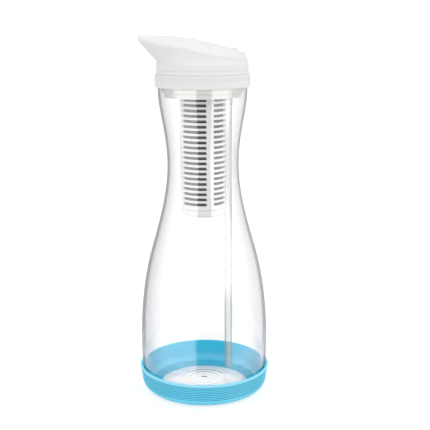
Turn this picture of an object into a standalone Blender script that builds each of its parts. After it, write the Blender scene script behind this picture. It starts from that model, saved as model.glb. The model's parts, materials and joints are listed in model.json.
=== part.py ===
"""Filter carafe: an hourglass glass bottle in a silicone boot, with a plug-in pouring lid.

The lid carries a hanging filter cartridge on a screw neck, a vent tube that reaches the floor
of the bottle, and a hinged cover over a beak spout. Metres, +Z up, the origin on the surface
that the boot stands on, the beak along -X and the vent tube along +X.
"""
import math

import bmesh
import bpy
from mathutils import Matrix, Vector

mm = 0.001

# Clearances
FIT_GAP = 0.3 * mm
TUBE_CLEARANCE = 0.45 * mm
NECK_CLEARANCE = 0.7 * mm
CORE_CLEARANCE = 0.95 * mm

# Glass bottle: each rise is a stretch of the profile, counted from the one below it
GLASS_WALL = 2.0 * mm
GLASS_FLOOR = 3.0 * mm
HEEL_RADIUS = 50.8 * mm
HEEL_ROUNDING = 8.5 * mm
HEEL_SLOPE = 0.19
BELLY_RADIUS = 53.15 * mm
BELLY_RISE = 37.5 * mm
SHOULDER_RADIUS = 42.8 * mm
SHOULDER_RISE = 83.5 * mm
SHOULDER_SLOPE = -0.29
WAIST_RISE = 70.2 * mm
FLARE_OUT = 3.8 * mm
FLARE_RISE = 34.8 * mm
FLARE_SLOPE = 0.182
MOUTH_RISE = 26.7 * mm
MOUTH_BAND = 6.3 * mm
PUNT_HEIGHT = 2.0 * mm
BASE_RING = 7.3 * mm

# Silicone boot, an even skin round the heel of the bottle
BOOT_WALL = 2.2 * mm
BOOT_HEIGHT = 21.5 * mm
BOOT_LIP = 5.1 * mm
BOOT_BAND = 3.0 * mm
GROOVE_COUNT = 8
GROOVE_PITCH = 1.6 * mm
GROOVE_DEPTH = 0.45 * mm

# Filter cartridge
CARTRIDGE_RADIUS = 19.2 * mm
CARTRIDGE_DRAFT = 0.7 * mm
HOUSING_WALL = 1.6 * mm
SLOT_ROWS = 21
SLOT_COLUMNS = 4
SLOT_PITCH = 4.23 * mm
SLOT_HEIGHT = 2.4 * mm
SLOT_SWEEP = math.radians(73)
SLOT_START = math.radians(-178.2)
SLOT_MARGIN = 4.5 * mm
FOOT_HEIGHT = 5.8 * mm
FOOT_ROUNDING = 2.5 * mm
SPIGOT_HEIGHT = 2.5 * mm
SPIGOT_WALL = 2.0 * mm
CAP_HEIGHT = 3.0 * mm
MESH_WALL = 0.5 * mm
SCREEN_HEIGHT = 1.2 * mm
FELT_HEIGHT = 4.0 * mm
MINERAL_DEPTH = 36.0 * mm

# Screw neck between the cartridge and the lid
NECK_RADIUS = 10.7 * mm
NECK_BORE = 8.0 * mm
NECK_HEIGHT = 12.5 * mm
THREAD_DEPTH = 1.1 * mm
THREAD_PITCH = 4.0 * mm
THREAD_TURNS = 1.5
THREAD_ROOT_WIDTH = 1.7 * mm
THREAD_CREST_WIDTH = 1.0 * mm
THREAD_START = 1.6 * mm
SOCKET_WALL = 1.8 * mm
SOCKET_HEIGHT = 10.5 * mm
SEAL_WIDTH = 3.0 * mm
SEAL_HEIGHT = 2.0 * mm

# Vent tube
TUBE_RADIUS = 3.2 * mm
TUBE_WALL = 1.0 * mm
TUBE_FLOOR_GAP = 5.5 * mm
BELL_RADIUS = 3.65 * mm
BELL_WALL = 0.9 * mm
BELL_LENGTH = 15.5 * mm
NIPPLE_LENGTH = 12.0 * mm
NIPPLE_BORE = 1.4 * mm

# Stopper and lid base
CORE_WALL = 2.0 * mm
SLEEVE_WALL = 3.3 * mm
BEAD_COUNT = 2
BEAD_HEIGHT = 0.5 * mm
BEAD_WIDTH = 1.6 * mm
COLLAR_WALL = 2.1 * mm
COLLAR_OVERLAP = 5.3 * mm
COLLAR_TOP = 5.0 * mm
COLLAR_ROUNDING = 1.4 * mm
PLUG_DEPTH = 13.0 * mm
FLANGE_HEIGHT = 3.7 * mm
FLANGE_OUT = 1.5 * mm
CARTRIDGE_RECESS = 8.4 * mm
CEILING_WALL = 2.5 * mm
BASE_BAND = 2.9 * mm
RING_SETBACK = 1.5 * mm

# Spout body: a ring that draws out into a beak
SPOUT_WALL = 2.2 * mm
RING_HEIGHT = 4.9 * mm
RIM_STEP = 2.5 * mm
WEB_HEIGHT = 2.0 * mm
BEAK_LENGTH = 18.1 * mm
BEAK_RISE = 16.1 * mm
BEAK_CURVE = 1.67
KEEL_CURVE = 0.96
NOSE_RADIUS = 3.0 * mm
SPOUT_SPIGOT_WALL = 1.8 * mm
SPOUT_SPIGOT_LENGTH = 6.5 * mm
RING_SEAL_HEIGHT = 2.0 * mm
RING_SEAL_WIDTH = 1.1 * mm
RING_SEAL_SEAT = 2.2 * mm

# Flip cover and its hinge
COVER_WALL = 2.2 * mm
COVER_LIP = 1.7 * mm
COVER_REAR = 8.6 * mm
CROWN_RADIUS = 237.0 * mm
CROWN_BACK = 6.4 * mm
CROWN_HEIGHT = 1.9 * mm
CROWN_SHAPE = 2.0
TAB_RADIUS = 2.0 * mm
TAB_ROOT = 1.0 * mm
TAB_HALF = 5.0 * mm
HINGE_BEHIND = 4.2 * mm
HINGE_RISE = 3.5 * mm
KNUCKLE_RADIUS = 2.1 * mm
KNUCKLE_WEB = 2.8 * mm
KNUCKLE_ROOT = 1.2 * mm
KNUCKLE_SWEEP = 75.0
EAR_WIDTH = 3.0 * mm
EAR_FOOT = 1.2 * mm
EAR_ROOT = 1.2 * mm
HINGE_HALF = 8.0 * mm
PIN_RADIUS = 0.9 * mm

# How finely the round pieces are cut
BOTTLE_STEPS = 36
LID_STEPS = 36
CARTRIDGE_STEPS = 24
TUBE_STEPS = 16
CURVE_STEPS = 4
ARC_STEPS = 3
RIM_COLUMNS = 20
RIM_CROWDING = 1.6
CROWN_STEPS = 10
SLOT_STEPS = 4
RIB_STEPS = 2
ROUND_STEPS = 8

# Heights worked out upwards from the floor of the boot
base_z = BOOT_WALL + FIT_GAP
heel_z = base_z + HEEL_ROUNDING
belly_z = base_z + BELLY_RISE
shoulder_z = belly_z + SHOULDER_RISE
waist_z = shoulder_z + WAIST_RISE
flare_z = waist_z + FLARE_RISE
mouth_z = flare_z + MOUTH_RISE
rim_z = mouth_z + MOUTH_BAND
collar_bottom = rim_z - COLLAR_OVERLAP
web_z = rim_z + FIT_GAP
collar_top = web_z + COLLAR_TOP
band_bottom = collar_top + FIT_GAP
band_top = band_bottom + BASE_BAND
body_bottom = band_top + FIT_GAP
ring_top = body_bottom + RING_HEIGHT
rear_rim = ring_top + RIM_STEP
tip_rim = rear_rim + BEAK_RISE
plug_bottom = rim_z - PLUG_DEPTH
flange_top = plug_bottom + FLANGE_HEIGHT
sleeve_bottom = flange_top + FIT_GAP
ceiling = plug_bottom + CARTRIDGE_RECESS
ceiling_top = ceiling + CEILING_WALL
seal_top = ceiling - FIT_GAP
cap_top = seal_top - SEAL_HEIGHT - FIT_GAP
cap_bottom = cap_top - CAP_HEIGHT
housing_top = cap_bottom - FIT_GAP
first_slot = housing_top - SLOT_MARGIN
last_slot = first_slot - (SLOT_ROWS - 1) * SLOT_PITCH
housing_bottom = last_slot - SLOT_MARGIN
foot_top = housing_bottom - FIT_GAP
foot_bottom = foot_top - FOOT_HEIGHT
foot_spigot_top = foot_top + SPIGOT_HEIGHT
cap_spigot_bottom = cap_bottom - SPIGOT_HEIGHT
mesh_bottom = foot_spigot_top + FIT_GAP
mesh_top = cap_spigot_bottom - FIT_GAP

# Radii worked out outwards from the cartridge, and inwards from the heel
tube_x = CARTRIDGE_RADIUS + TUBE_CLEARANCE + BELL_RADIUS
waist_radius = tube_x + TUBE_RADIUS + NECK_CLEARANCE + GLASS_WALL
flare_radius = waist_radius + FLARE_OUT
core_inner = tube_x + BELL_RADIUS + CORE_CLEARANCE
core_radius = core_inner + CORE_WALL
sleeve_inner = core_radius + FIT_GAP
sleeve_radius = sleeve_inner + SLEEVE_WALL
bead_radius = sleeve_radius + BEAD_HEIGHT
mouth_inner = bead_radius + FIT_GAP
mouth_radius = mouth_inner + GLASS_WALL
collar_inner = mouth_radius + FIT_GAP
collar_radius = collar_inner + COLLAR_WALL
ring_radius = collar_radius - RING_SETBACK
spout_reach = ring_radius + BEAK_LENGTH
heel_flat = HEEL_RADIUS - HEEL_ROUNDING
punt_radius = heel_flat - BASE_RING
boot_window = heel_flat - BOOT_LIP
housing_inner = CARTRIDGE_RADIUS - CARTRIDGE_DRAFT - HOUSING_WALL
spigot_radius = housing_inner - FIT_GAP
mesh_radius = spigot_radius
media_radius = mesh_radius - MESH_WALL - FIT_GAP
thread_crest = NECK_RADIUS + THREAD_DEPTH
socket_bore = thread_crest + FIT_GAP
socket_crest = NECK_RADIUS + FIT_GAP
socket_radius = socket_bore + SOCKET_WALL
nipple_radius = BELL_RADIUS - BELL_WALL - FIT_GAP
spout_spigot_radius = core_inner - FIT_GAP
spout_bore = spout_spigot_radius - SPOUT_SPIGOT_WALL - RING_SEAL_WIDTH

# The cover ends in a straight chord across the lid, and its hinge lies behind that
chord_x = ring_radius - COVER_REAR
hinge_x = chord_x + HINGE_BEHIND
hinge_z = rear_rim + HINGE_RISE
knuckle_half = HINGE_HALF - EAR_WIDTH - FIT_GAP
pin_bore = PIN_RADIUS + FIT_GAP
crown_x = CROWN_BACK - spout_reach
crown_z = tip_rim + FIT_GAP + COVER_LIP + CROWN_HEIGHT

materials = {}


def make_material(name, colour, roughness, metallic=0.0, transmission=0.0):
    """A plain Principled finish, kept by name for the pieces that share it."""
    finish = bpy.data.materials.new(name)
    finish.use_nodes = True
    shader = finish.node_tree.nodes["Principled BSDF"]
    shader.inputs["Base Color"].default_value = (*colour, 1.0)
    shader.inputs["Roughness"].default_value = roughness
    shader.inputs["Metallic"].default_value = metallic
    shader.inputs["Transmission Weight"].default_value = transmission
    finish.diffuse_color = (*colour, 1.0)
    materials[name] = finish


def make_materials():
    make_material("clear_glass", (0.94, 0.97, 0.98), 0.02, transmission=1.0)
    make_material("blue_silicone", (0.10, 0.56, 0.84), 0.45)
    make_material("frosted_silicone", (0.83, 0.83, 0.80), 0.50)
    make_material("white_plastic", (0.90, 0.90, 0.90), 0.32)
    make_material("frosted_plastic", (0.85, 0.87, 0.87), 0.30, transmission=0.5)
    make_material("steel", (0.60, 0.60, 0.61), 0.25, metallic=1.0)
    make_material("black_mesh", (0.015, 0.015, 0.016), 0.60)
    make_material("black_carbon", (0.02, 0.02, 0.02), 0.85)
    make_material("clay_mineral", (0.55, 0.42, 0.32), 0.80)
    make_material("white_felt", (0.86, 0.86, 0.84), 0.95)
    make_material("clear_seal", (0.80, 0.82, 0.82), 0.40)


def clear_scene():
    for item in list(bpy.data.objects):
        bpy.data.objects.remove(item, do_unlink=True)


def add_empty(name, place, parent=None):
    """A guide on a joint's axis, which the moving pieces hang from."""
    empty = bpy.data.objects.new(name, None)
    bpy.context.scene.collection.objects.link(empty)
    empty["place"] = place
    empty.location = place
    if parent is not None:
        empty.parent = parent
        empty.location = Vector(place) - Vector(parent["place"])
    return empty


def add_object(name, mesh_data, finish, carrier=None):
    """Turn a bmesh in world coordinates into a named piece, hung from its carrier."""
    mesh = bpy.data.meshes.new(name)
    bmesh.ops.recalc_face_normals(mesh_data, faces=mesh_data.faces)
    mesh_data.to_mesh(mesh)
    mesh_data.free()
    mesh.materials.append(materials[finish])
    mesh.shade_smooth()
    mesh.set_sharp_from_angle(angle=math.radians(32))
    piece = bpy.data.objects.new(name, mesh)
    bpy.context.scene.collection.objects.link(piece)
    if carrier is not None:
        mesh.transform(Matrix.Translation(-Vector(carrier["place"])))
        piece.parent = carrier
    return piece


def combine(piece, tool_name, mesh_data, operation):
    """Cut a shape from a piece or join it on, with the shape kept as a hidden guide."""
    tool = add_object(tool_name, mesh_data, piece.data.materials[0].name)
    tool.hide_render = True
    tool.display_type = "WIRE"
    modifier = piece.modifiers.new(tool_name, "BOOLEAN")
    modifier.operation = operation
    modifier.solver = "EXACT"
    modifier.object = tool


def turned(outline, steps):
    """Spin an outline of (radius, height) points round the Z axis into a closed body."""
    shape = bmesh.new()
    points = [shape.verts.new((radius, 0.0, height)) for radius, height in outline]
    pairs = list(zip(points, points[1:]))
    if outline[0][0] > 0.0:
        pairs.append((points[-1], points[0]))
    edges = [shape.edges.new(pair) for pair in pairs]
    bmesh.ops.spin(shape, geom=points + edges, cent=(0, 0, 0), axis=(0, 0, 1),
                   angle=math.tau, steps=steps, use_duplicate=False)
    bmesh.ops.remove_doubles(shape, verts=shape.verts, dist=1e-7)
    return shape


def arc(centre, radius, start, end, steps=ARC_STEPS):
    """Points on a circle in the (radius, height) plane, angles in degrees."""
    angles = [math.radians(start + (end - start) * i / steps) for i in range(steps + 1)]
    return [(centre[0] + radius * math.cos(a), centre[1] + radius * math.sin(a)) for a in angles]


def rod(start, end, radius, steps):
    """A capped cylinder between two points."""
    start = Vector(start)
    end = Vector(end)
    shape = bmesh.new()
    turn = Vector((0, 0, 1)).rotation_difference(end - start).to_matrix().to_4x4()
    place = Matrix.Translation((start + end) / 2) @ turn
    bmesh.ops.create_cone(shape, cap_ends=True, segments=steps, radius1=radius, radius2=radius,
                          depth=(end - start).length, matrix=place)
    return shape


def slab(outline, y_low, y_high):
    """Extrude an (x, z) outline along Y."""
    shape = bmesh.new()
    face = shape.faces.new([shape.verts.new((x, y_low, z)) for x, z in outline])
    grown = bmesh.ops.extrude_face_region(shape, geom=[face])
    moved = [item for item in grown["geom"] if isinstance(item, bmesh.types.BMVert)]
    bmesh.ops.translate(shape, verts=moved, vec=(0, y_high - y_low, 0))
    return shape


def hermite(height, low, high):
    """Radius at a height on a cubic between two (height, radius, slope) stations."""
    span = high[0] - low[0]
    t = (height - low[0]) / span
    start = (1 + 2 * t) * (1 - t) ** 2 * low[1] + t * (1 - t) ** 2 * span * low[2]
    end = t ** 2 * (3 - 2 * t) * high[1] + t ** 2 * (t - 1) * span * high[2]
    return start + end


def bottle_stations():
    """Heights, radii and slopes that the outside of the bottle passes through."""
    return [
        (heel_z, HEEL_RADIUS, HEEL_SLOPE),
        (belly_z, BELLY_RADIUS, 0.0),
        (shoulder_z, SHOULDER_RADIUS, SHOULDER_SLOPE),
        (waist_z, waist_radius, 0.0),
        (flare_z, flare_radius, FLARE_SLOPE),
        (mouth_z, mouth_radius, 0.0),
    ]


def bottle_radius(height):
    """Outside radius of the bottle above its heel."""
    stations = bottle_stations()
    for low, high in zip(stations, stations[1:]):
        if height <= high[0]:
            return hermite(height, low, high)
    return mouth_radius


def bottle_side(inset):
    """Points up the side of the bottle, from the heel to the mouth, drawn in by an inset."""
    stations = bottle_stations()
    points = []
    for low, high in zip(stations, stations[1:]):
        for i in range(CURVE_STEPS):
            height = low[0] + (high[0] - low[0]) * i / CURVE_STEPS
            nudge = (high[0] - low[0]) * 0.01
            slope = (bottle_radius(height + nudge) - bottle_radius(height - nudge)) / (2 * nudge)
            if height == heel_z:
                slope = 0.0
            tilt = math.atan(slope)
            points.append((bottle_radius(height) - inset * math.cos(tilt),
                           height + inset * math.sin(tilt)))
    points.append((mouth_radius - inset, mouth_z))
    return points


def heel_arc(centre_z, growth):
    """The heel's rounding, from the floor out to the side, grown or shrunk by an offset."""
    return arc((heel_flat, centre_z), HEEL_ROUNDING + growth, -90, 0)


def punt(floor):
    """Points of the shallow dome in the bottle's floor, from its edge in to the axis."""
    shares = [1 - i / ARC_STEPS for i in range(ARC_STEPS + 1)]
    return [(punt_radius * share, floor + PUNT_HEIGHT * (1 - share ** 2)) for share in shares]


def make_bottle():
    lip = GLASS_WALL / 2
    outline = punt(base_z)[::-1] + heel_arc(heel_z, 0.0)
    outline += bottle_side(0.0)[1:]
    outline += arc((mouth_radius - lip, rim_z - lip), lip, 0, 180)
    outline += bottle_side(GLASS_WALL)[:0:-1]
    floor_lift = GLASS_FLOOR - GLASS_WALL
    outline += heel_arc(heel_z + floor_lift, -GLASS_WALL)[::-1]
    outline += punt(base_z + GLASS_FLOOR)
    add_object("bottle", turned(outline, BOTTLE_STEPS), "clear_glass")


def boot_side(height, offset):
    """Radius of the boot at a height, an even offset from the bottle that it covers."""
    if height >= heel_z:
        return bottle_radius(height) + offset
    reach = HEEL_ROUNDING + offset
    return heel_flat + math.sqrt(max(reach ** 2 - (heel_z - height) ** 2, 0.0))


def make_boot(carrier):
    outside = FIT_GAP + BOOT_WALL
    first = BOOT_HEIGHT - BOOT_BAND
    grooves = [first - GROOVE_PITCH * i for i in range(GROOVE_COUNT)]
    low = grooves[-1] - GROOVE_PITCH / 2
    reach = HEEL_ROUNDING + outside
    sweep = math.degrees(math.asin((low - heel_z) / reach))
    outline = [(boot_window, BOOT_WALL), (boot_window, 0.0)]
    outline += arc((heel_flat, heel_z), reach, -90, sweep)[:-1]
    for height in reversed(grooves):
        crest = height - GROOVE_PITCH / 2
        outline.append((boot_side(crest, outside), crest))
        outline.append((boot_side(height, outside) - GROOVE_DEPTH, height))
    outline.append((boot_side(first + GROOVE_PITCH / 2, outside), first + GROOVE_PITCH / 2))
    lip = BOOT_WALL / 2
    rim = (boot_side(BOOT_HEIGHT, FIT_GAP) + lip, BOOT_HEIGHT - lip)
    outline += arc(rim, lip, 0, 180)
    middle = (heel_z + BOOT_HEIGHT) / 2
    outline.append((boot_side(middle, FIT_GAP), middle))
    outline += heel_arc(heel_z, FIT_GAP)[::-1]
    add_object("base_boot", turned(outline, BOTTLE_STEPS), "blue_silicone", carrier)


def make_stopper(carrier):
    """The silicone collar over the glass rim, with its beaded sleeve down inside the mouth."""
    turn = COLLAR_ROUNDING
    outline = [(sleeve_inner, collar_top)]
    outline += arc((collar_radius - turn, collar_top - turn), turn, 90, 0)
    outline += arc((collar_radius - turn, collar_bottom + turn), turn, 0, -90)
    outline += [(collar_inner, collar_bottom), (collar_inner, web_z), (sleeve_radius, web_z)]
    spacing = (web_z - sleeve_bottom) / (BEAD_COUNT + 1)
    for i in range(BEAD_COUNT):
        height = web_z - spacing * (i + 1)
        outline.append((sleeve_radius, height + BEAD_WIDTH / 2))
        outline.append((bottle_bead(height), height))
        outline.append((sleeve_radius, height - BEAD_WIDTH / 2))
    outline += [(sleeve_radius, sleeve_bottom), (sleeve_inner, sleeve_bottom)]
    add_object("mouth_stopper", turned(outline, LID_STEPS), "frosted_silicone", carrier)


def bottle_bead(height):
    """Radius of a sealing bead that lies against the glass at a height."""
    return min(bottle_radius(height) - GLASS_WALL - FIT_GAP, bead_radius)


def thread_ridge(root, crest, height, turns):
    """A helical ridge from its root radius to its crest, climbing one pitch a turn."""
    shape = bmesh.new()
    section = [(root, -THREAD_ROOT_WIDTH / 2), (crest, -THREAD_CREST_WIDTH / 2),
               (crest, THREAD_CREST_WIDTH / 2), (root, THREAD_ROOT_WIDTH / 2)]
    count = round(turns * CARTRIDGE_STEPS)
    rings = []
    for i in range(count + 1):
        angle = math.tau * i / CARTRIDGE_STEPS
        climb = height + THREAD_PITCH * i / CARTRIDGE_STEPS
        rings.append([shape.verts.new((radius * math.cos(angle), radius * math.sin(angle), climb + dz))
                      for radius, dz in section])
    for low, high in zip(rings, rings[1:]):
        for k in range(len(section)):
            shape.faces.new((low[k], low[k - 1], high[k - 1], high[k]))
    shape.faces.new(rings[0])
    shape.faces.new(reversed(rings[-1]))
    return shape


def make_lid_base(carrier):
    """The plug's hard core: band, skirt, flange, ceiling, thread socket and vent nipple."""
    socket_top = ceiling + SOCKET_HEIGHT
    outline = [
        (core_inner, plug_bottom), (core_radius + FLANGE_OUT, plug_bottom),
        (core_radius + FLANGE_OUT, flange_top), (core_radius, flange_top),
        (core_radius, band_bottom), (ring_radius, band_bottom), (ring_radius, band_top),
        (core_inner, band_top), (core_inner, ceiling_top), (socket_radius, ceiling_top),
        (socket_radius, socket_top), (socket_bore, socket_top), (socket_bore, ceiling),
        (core_inner, ceiling),
    ]
    base = add_object("lid_base", turned(outline, LID_STEPS), "white_plastic", carrier)
    half_wall = SOCKET_WALL / 2
    ridge = thread_ridge(socket_bore + half_wall, socket_crest,
                         ceiling + THREAD_START + THREAD_PITCH / 2, THREAD_TURNS)
    combine(base, "socket_thread_guide", ridge, "UNION")
    nipple = rod((tube_x, 0, ceiling - NIPPLE_LENGTH), (tube_x, 0, ceiling + CEILING_WALL / 2),
                 nipple_radius, TUBE_STEPS)
    combine(base, "nipple_guide", nipple, "UNION")
    bore = rod((tube_x, 0, ceiling - 2 * NIPPLE_LENGTH), (tube_x, 0, ceiling_top + CEILING_WALL),
               NIPPLE_BORE, TUBE_STEPS)
    combine(base, "nipple_bore_guide", bore, "DIFFERENCE")


def make_vent_tube(carrier):
    """A straight tube with a bell end that pushes over the lid's nipple."""
    bottom = base_z + GLASS_FLOOR + PUNT_HEIGHT + TUBE_FLOOR_GAP
    top = ceiling - FIT_GAP
    bell = top - BELL_LENGTH
    bore = TUBE_RADIUS - TUBE_WALL
    bell_bore = BELL_RADIUS - BELL_WALL
    step = BELL_RADIUS - TUBE_RADIUS
    outline = [
        (bore, bottom), (TUBE_RADIUS, bottom), (TUBE_RADIUS, bell - step), (BELL_RADIUS, bell),
        (BELL_RADIUS, top), (bell_bore, top), (bell_bore, bell), (bore, bell - step),
    ]
    shape = turned(outline, TUBE_STEPS)
    bmesh.ops.translate(shape, verts=shape.verts, vec=(tube_x, 0, 0))
    add_object("vent_tube", shape, "frosted_plastic", carrier)


def square_ring(inner, outer, low, high, steps):
    return turned([(inner, low), (outer, low), (outer, high), (inner, high)], steps)


def make_cartridge_seal(carrier):
    """The sealing ring that lies on the cartridge's shoulder, under the lid's ceiling."""
    inner = socket_bore
    bevel = SEAL_HEIGHT / 4
    low = seal_top - SEAL_HEIGHT
    outer = inner + SEAL_WIDTH
    outline = [
        (inner, low + bevel), (inner + bevel, low), (outer - bevel, low), (outer, low + bevel),
        (outer, seal_top - bevel), (outer - bevel, seal_top), (inner + bevel, seal_top),
        (inner, seal_top - bevel),
    ]
    add_object("cartridge_seal", turned(outline, CARTRIDGE_STEPS), "clear_seal", carrier)


def make_cartridge_cap(carrier):
    """The cartridge's shoulder, with its screw neck above and its spigot below."""
    neck_top = cap_top + NECK_HEIGHT
    outline = [
        (NECK_BORE, cap_bottom), (spigot_radius - SPIGOT_WALL, cap_bottom),
        (spigot_radius - SPIGOT_WALL, cap_spigot_bottom), (spigot_radius, cap_spigot_bottom),
        (spigot_radius, cap_bottom), (CARTRIDGE_RADIUS, cap_bottom),
        (CARTRIDGE_RADIUS, cap_top), (NECK_RADIUS, cap_top), (NECK_RADIUS, neck_top),
        (NECK_BORE, neck_top),
    ]
    cap = add_object("cartridge_cap", turned(outline, CARTRIDGE_STEPS), "white_plastic", carrier)
    half_wall = (NECK_RADIUS - NECK_BORE) / 2
    ridge = thread_ridge(NECK_RADIUS - half_wall, thread_crest, ceiling + THREAD_START,
                         THREAD_TURNS)
    combine(cap, "neck_thread_guide", ridge, "UNION")


def housing_radius(height):
    """Outside radius of the drafted housing."""
    share = (housing_top - height) / (housing_top - housing_bottom)
    return CARTRIDGE_RADIUS - CARTRIDGE_DRAFT * share


def make_housing(carrier):
    """A drafted tube with columns of level slots, built as a grid with the slots left out."""
    shape = bmesh.new()
    turn = math.tau / SLOT_COLUMNS
    angles = []
    open_columns = []
    for column in range(SLOT_COLUMNS):
        start = SLOT_START + column * turn
        angles += [start + SLOT_SWEEP * i / SLOT_STEPS for i in range(SLOT_STEPS)]
        open_columns += [True] * SLOT_STEPS
        rib = start + SLOT_SWEEP
        angles += [rib + (turn - SLOT_SWEEP) * i / RIB_STEPS for i in range(RIB_STEPS)]
        open_columns += [False] * RIB_STEPS
    heights = [housing_bottom]
    for row in range(SLOT_ROWS):
        middle = last_slot + SLOT_PITCH * row
        heights += [middle - SLOT_HEIGHT / 2, middle + SLOT_HEIGHT / 2]
    heights.append(housing_top)
    skins = []
    for radius_at in (housing_radius, lambda height: housing_inner):
        skins.append([[shape.verts.new((radius_at(z) * math.cos(a), radius_at(z) * math.sin(a), z))
                       for a in angles] for z in heights])
    outer, inner = skins
    count = len(angles)

    def is_open(row, column):
        return row % 2 == 1 and open_columns[column % count]

    for row in range(len(heights) - 1):
        for column in range(count):
            after = (column + 1) % count
            if is_open(row, column):
                if not is_open(row, column - 1):
                    wall = (outer[row][column], outer[row + 1][column],
                            inner[row + 1][column], inner[row][column])
                    shape.faces.new(wall)
                if not is_open(row, column + 1):
                    wall = (outer[row][after], inner[row][after],
                            inner[row + 1][after], outer[row + 1][after])
                    shape.faces.new(wall)
                shape.faces.new((outer[row][column], inner[row][column],
                                 inner[row][after], outer[row][after]))
                shape.faces.new((outer[row + 1][column], outer[row + 1][after],
                                 inner[row + 1][after], inner[row + 1][column]))
            else:
                shape.faces.new((outer[row][column], outer[row][after],
                                 outer[row + 1][after], outer[row + 1][column]))
                shape.faces.new((inner[row][column], inner[row + 1][column],
                                 inner[row + 1][after], inner[row][after]))
    for column in range(count):
        after = (column + 1) % count
        shape.faces.new((outer[0][column], inner[0][column], inner[0][after], outer[0][after]))
        shape.faces.new((outer[-1][column], outer[-1][after], inner[-1][after], inner[-1][column]))
    add_object("cartridge_housing", shape, "white_plastic", carrier)


def make_cartridge_foot(carrier):
    radius = housing_radius(housing_bottom)
    turn = FOOT_ROUNDING
    outline = [(0.0, foot_bottom)]
    outline += arc((radius - turn, foot_bottom + turn), turn, -90, 0)
    outline += [(radius, foot_top), (spigot_radius, foot_top), (spigot_radius, foot_spigot_top),
                (0.0, foot_spigot_top)]
    add_object("cartridge_foot", turned(outline, CARTRIDGE_STEPS), "white_plastic", carrier)


def make_cartridge_filling(carrier):
    """The mesh sleeve and, stacked inside it from the foot up, the filter layers."""
    sleeve = square_ring(mesh_radius - MESH_WALL, mesh_radius, mesh_bottom, mesh_top, CARTRIDGE_STEPS)
    add_object("mesh_sleeve", sleeve, "black_mesh", carrier)
    fixed = 2 * FELT_HEIGHT + 2 * SCREEN_HEIGHT + MINERAL_DEPTH + 5 * FIT_GAP
    carbon_depth = mesh_top - mesh_bottom - fixed
    layers = [
        ("lower_felt_pad", FELT_HEIGHT, "white_felt"),
        ("mineral_bed", MINERAL_DEPTH, "clay_mineral"),
        ("media_divider", SCREEN_HEIGHT, "white_plastic"),
        ("carbon_bed", carbon_depth, "black_carbon"),
        ("upper_felt_pad", FELT_HEIGHT, "white_felt"),
        ("outlet_screen", SCREEN_HEIGHT, "white_plastic"),
    ]
    low = mesh_bottom
    for name, depth, finish in layers:
        high = low + depth
        outline = [(0.0, low), (media_radius, low), (media_radius, high), (0.0, high)]
        add_object(name, turned(outline, CARTRIDGE_STEPS), finish, carrier)
        low = high + FIT_GAP


def keel_reach(height):
    """How far the beak's front edge stands from the axis at a height."""
    share = (height - ring_top) / (tip_rim - ring_top)
    share = min(max(share, 0.0), 1.0)
    return ring_radius + BEAK_LENGTH * share ** KEEL_CURVE


def parting_height(x):
    """Height of the joint between the spout body and the cover, rising towards the beak."""
    share = (chord_x - x) / (chord_x + spout_reach)
    return rear_rim + BEAK_RISE * min(max(share, 0.0), 1.0) ** BEAK_CURVE


def beak_radius(angle, inset, reach):
    """Distance from the axis to a ring and a nose circle joined by their two tangents."""
    ring = ring_radius - inset
    nose = NOSE_RADIUS - inset
    centre = reach - inset - nose
    angle = abs(angle)
    if centre <= ring - nose:
        return ring
    lean = math.acos((ring - nose) / centre)
    if angle >= lean:
        return ring
    touch = math.atan2(nose * math.sin(lean), centre + nose * math.cos(lean))
    if angle >= touch:
        return ring / math.cos(lean - angle)
    return centre * math.cos(angle) + math.sqrt(nose ** 2 - (centre * math.sin(angle)) ** 2)


def rim_point(angle, inset):
    """The point on the parting line at an angle from the beak, drawn in by an inset."""
    height = rear_rim
    x = 0.0
    y = 0.0
    for _ in range(24):
        radius = beak_radius(angle, inset, keel_reach(height))
        x = -radius * math.cos(angle)
        y = radius * math.sin(angle)
        height = parting_height(x)
    return x, y, height


def beak_angles(last):
    """Angles from the nose round to the last one, crowded towards the nose."""
    return [last * (i / RIM_COLUMNS) ** RIM_CROWDING for i in range(RIM_COLUMNS + 1)]


def loft(columns):
    """Close a body from columns of points, listed from the nose to the rear, and their mirror."""
    shape = bmesh.new()
    left = [[shape.verts.new(point) for point in column] for column in columns]
    right = []
    for column, made in zip(columns, left):
        if column[0][1] == 0.0:
            right.append(made)
        else:
            right.append([shape.verts.new((x, -y, z)) for x, y, z in column])
    loop = left + [column for column in reversed(right) if column not in left]
    for here, there in zip(loop, loop[1:] + loop[:1]):
        for k in range(len(here) - 1):
            shape.faces.new((here[k], here[k + 1], there[k + 1], there[k]))
    for end in (0, -1):
        for i in range(len(left) - 1):
            corners = (left[i][end], left[i + 1][end], right[i + 1][end], right[i][end])
            shape.faces.new(dict.fromkeys(corners))
    return shape


def beak_column(angle, inset, heights, level):
    """Points up the beak's wall at an angle, its outline held still above a level."""
    column = []
    for height in heights:
        radius = beak_radius(angle, inset, keel_reach(min(height, level)))
        side = radius * math.sin(angle) if 0.0 < angle < math.pi else 0.0
        column.append((-radius * math.cos(angle), side, height))
    return column


def wall_heights(rim):
    """Levels from the top of the ring up to the rim."""
    return [ring_top + (rim - ring_top) * i / ARC_STEPS for i in range(ARC_STEPS + 1)]


def spout_outside():
    columns = []
    for angle in beak_angles(math.pi):
        rim = rim_point(angle, 0.0)[2]
        columns.append(beak_column(angle, 0.0, [body_bottom] + wall_heights(rim), rim))
    return loft(columns)


def spout_inside():
    """The funnel inside the spout body, open at the top and stopped short of the hinge ledge."""
    stop = chord_x - SPOUT_WALL
    last = math.pi - math.acos(stop / (ring_radius - SPOUT_WALL))
    columns = []
    for angle in beak_angles(last):
        rim = rim_point(angle, SPOUT_WALL)[2]
        heights = [body_bottom + WEB_HEIGHT] + wall_heights(rim) + [tip_rim + SPOUT_WALL]
        columns.append(beak_column(angle, SPOUT_WALL, heights, rim))
    return loft(columns)


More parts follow.
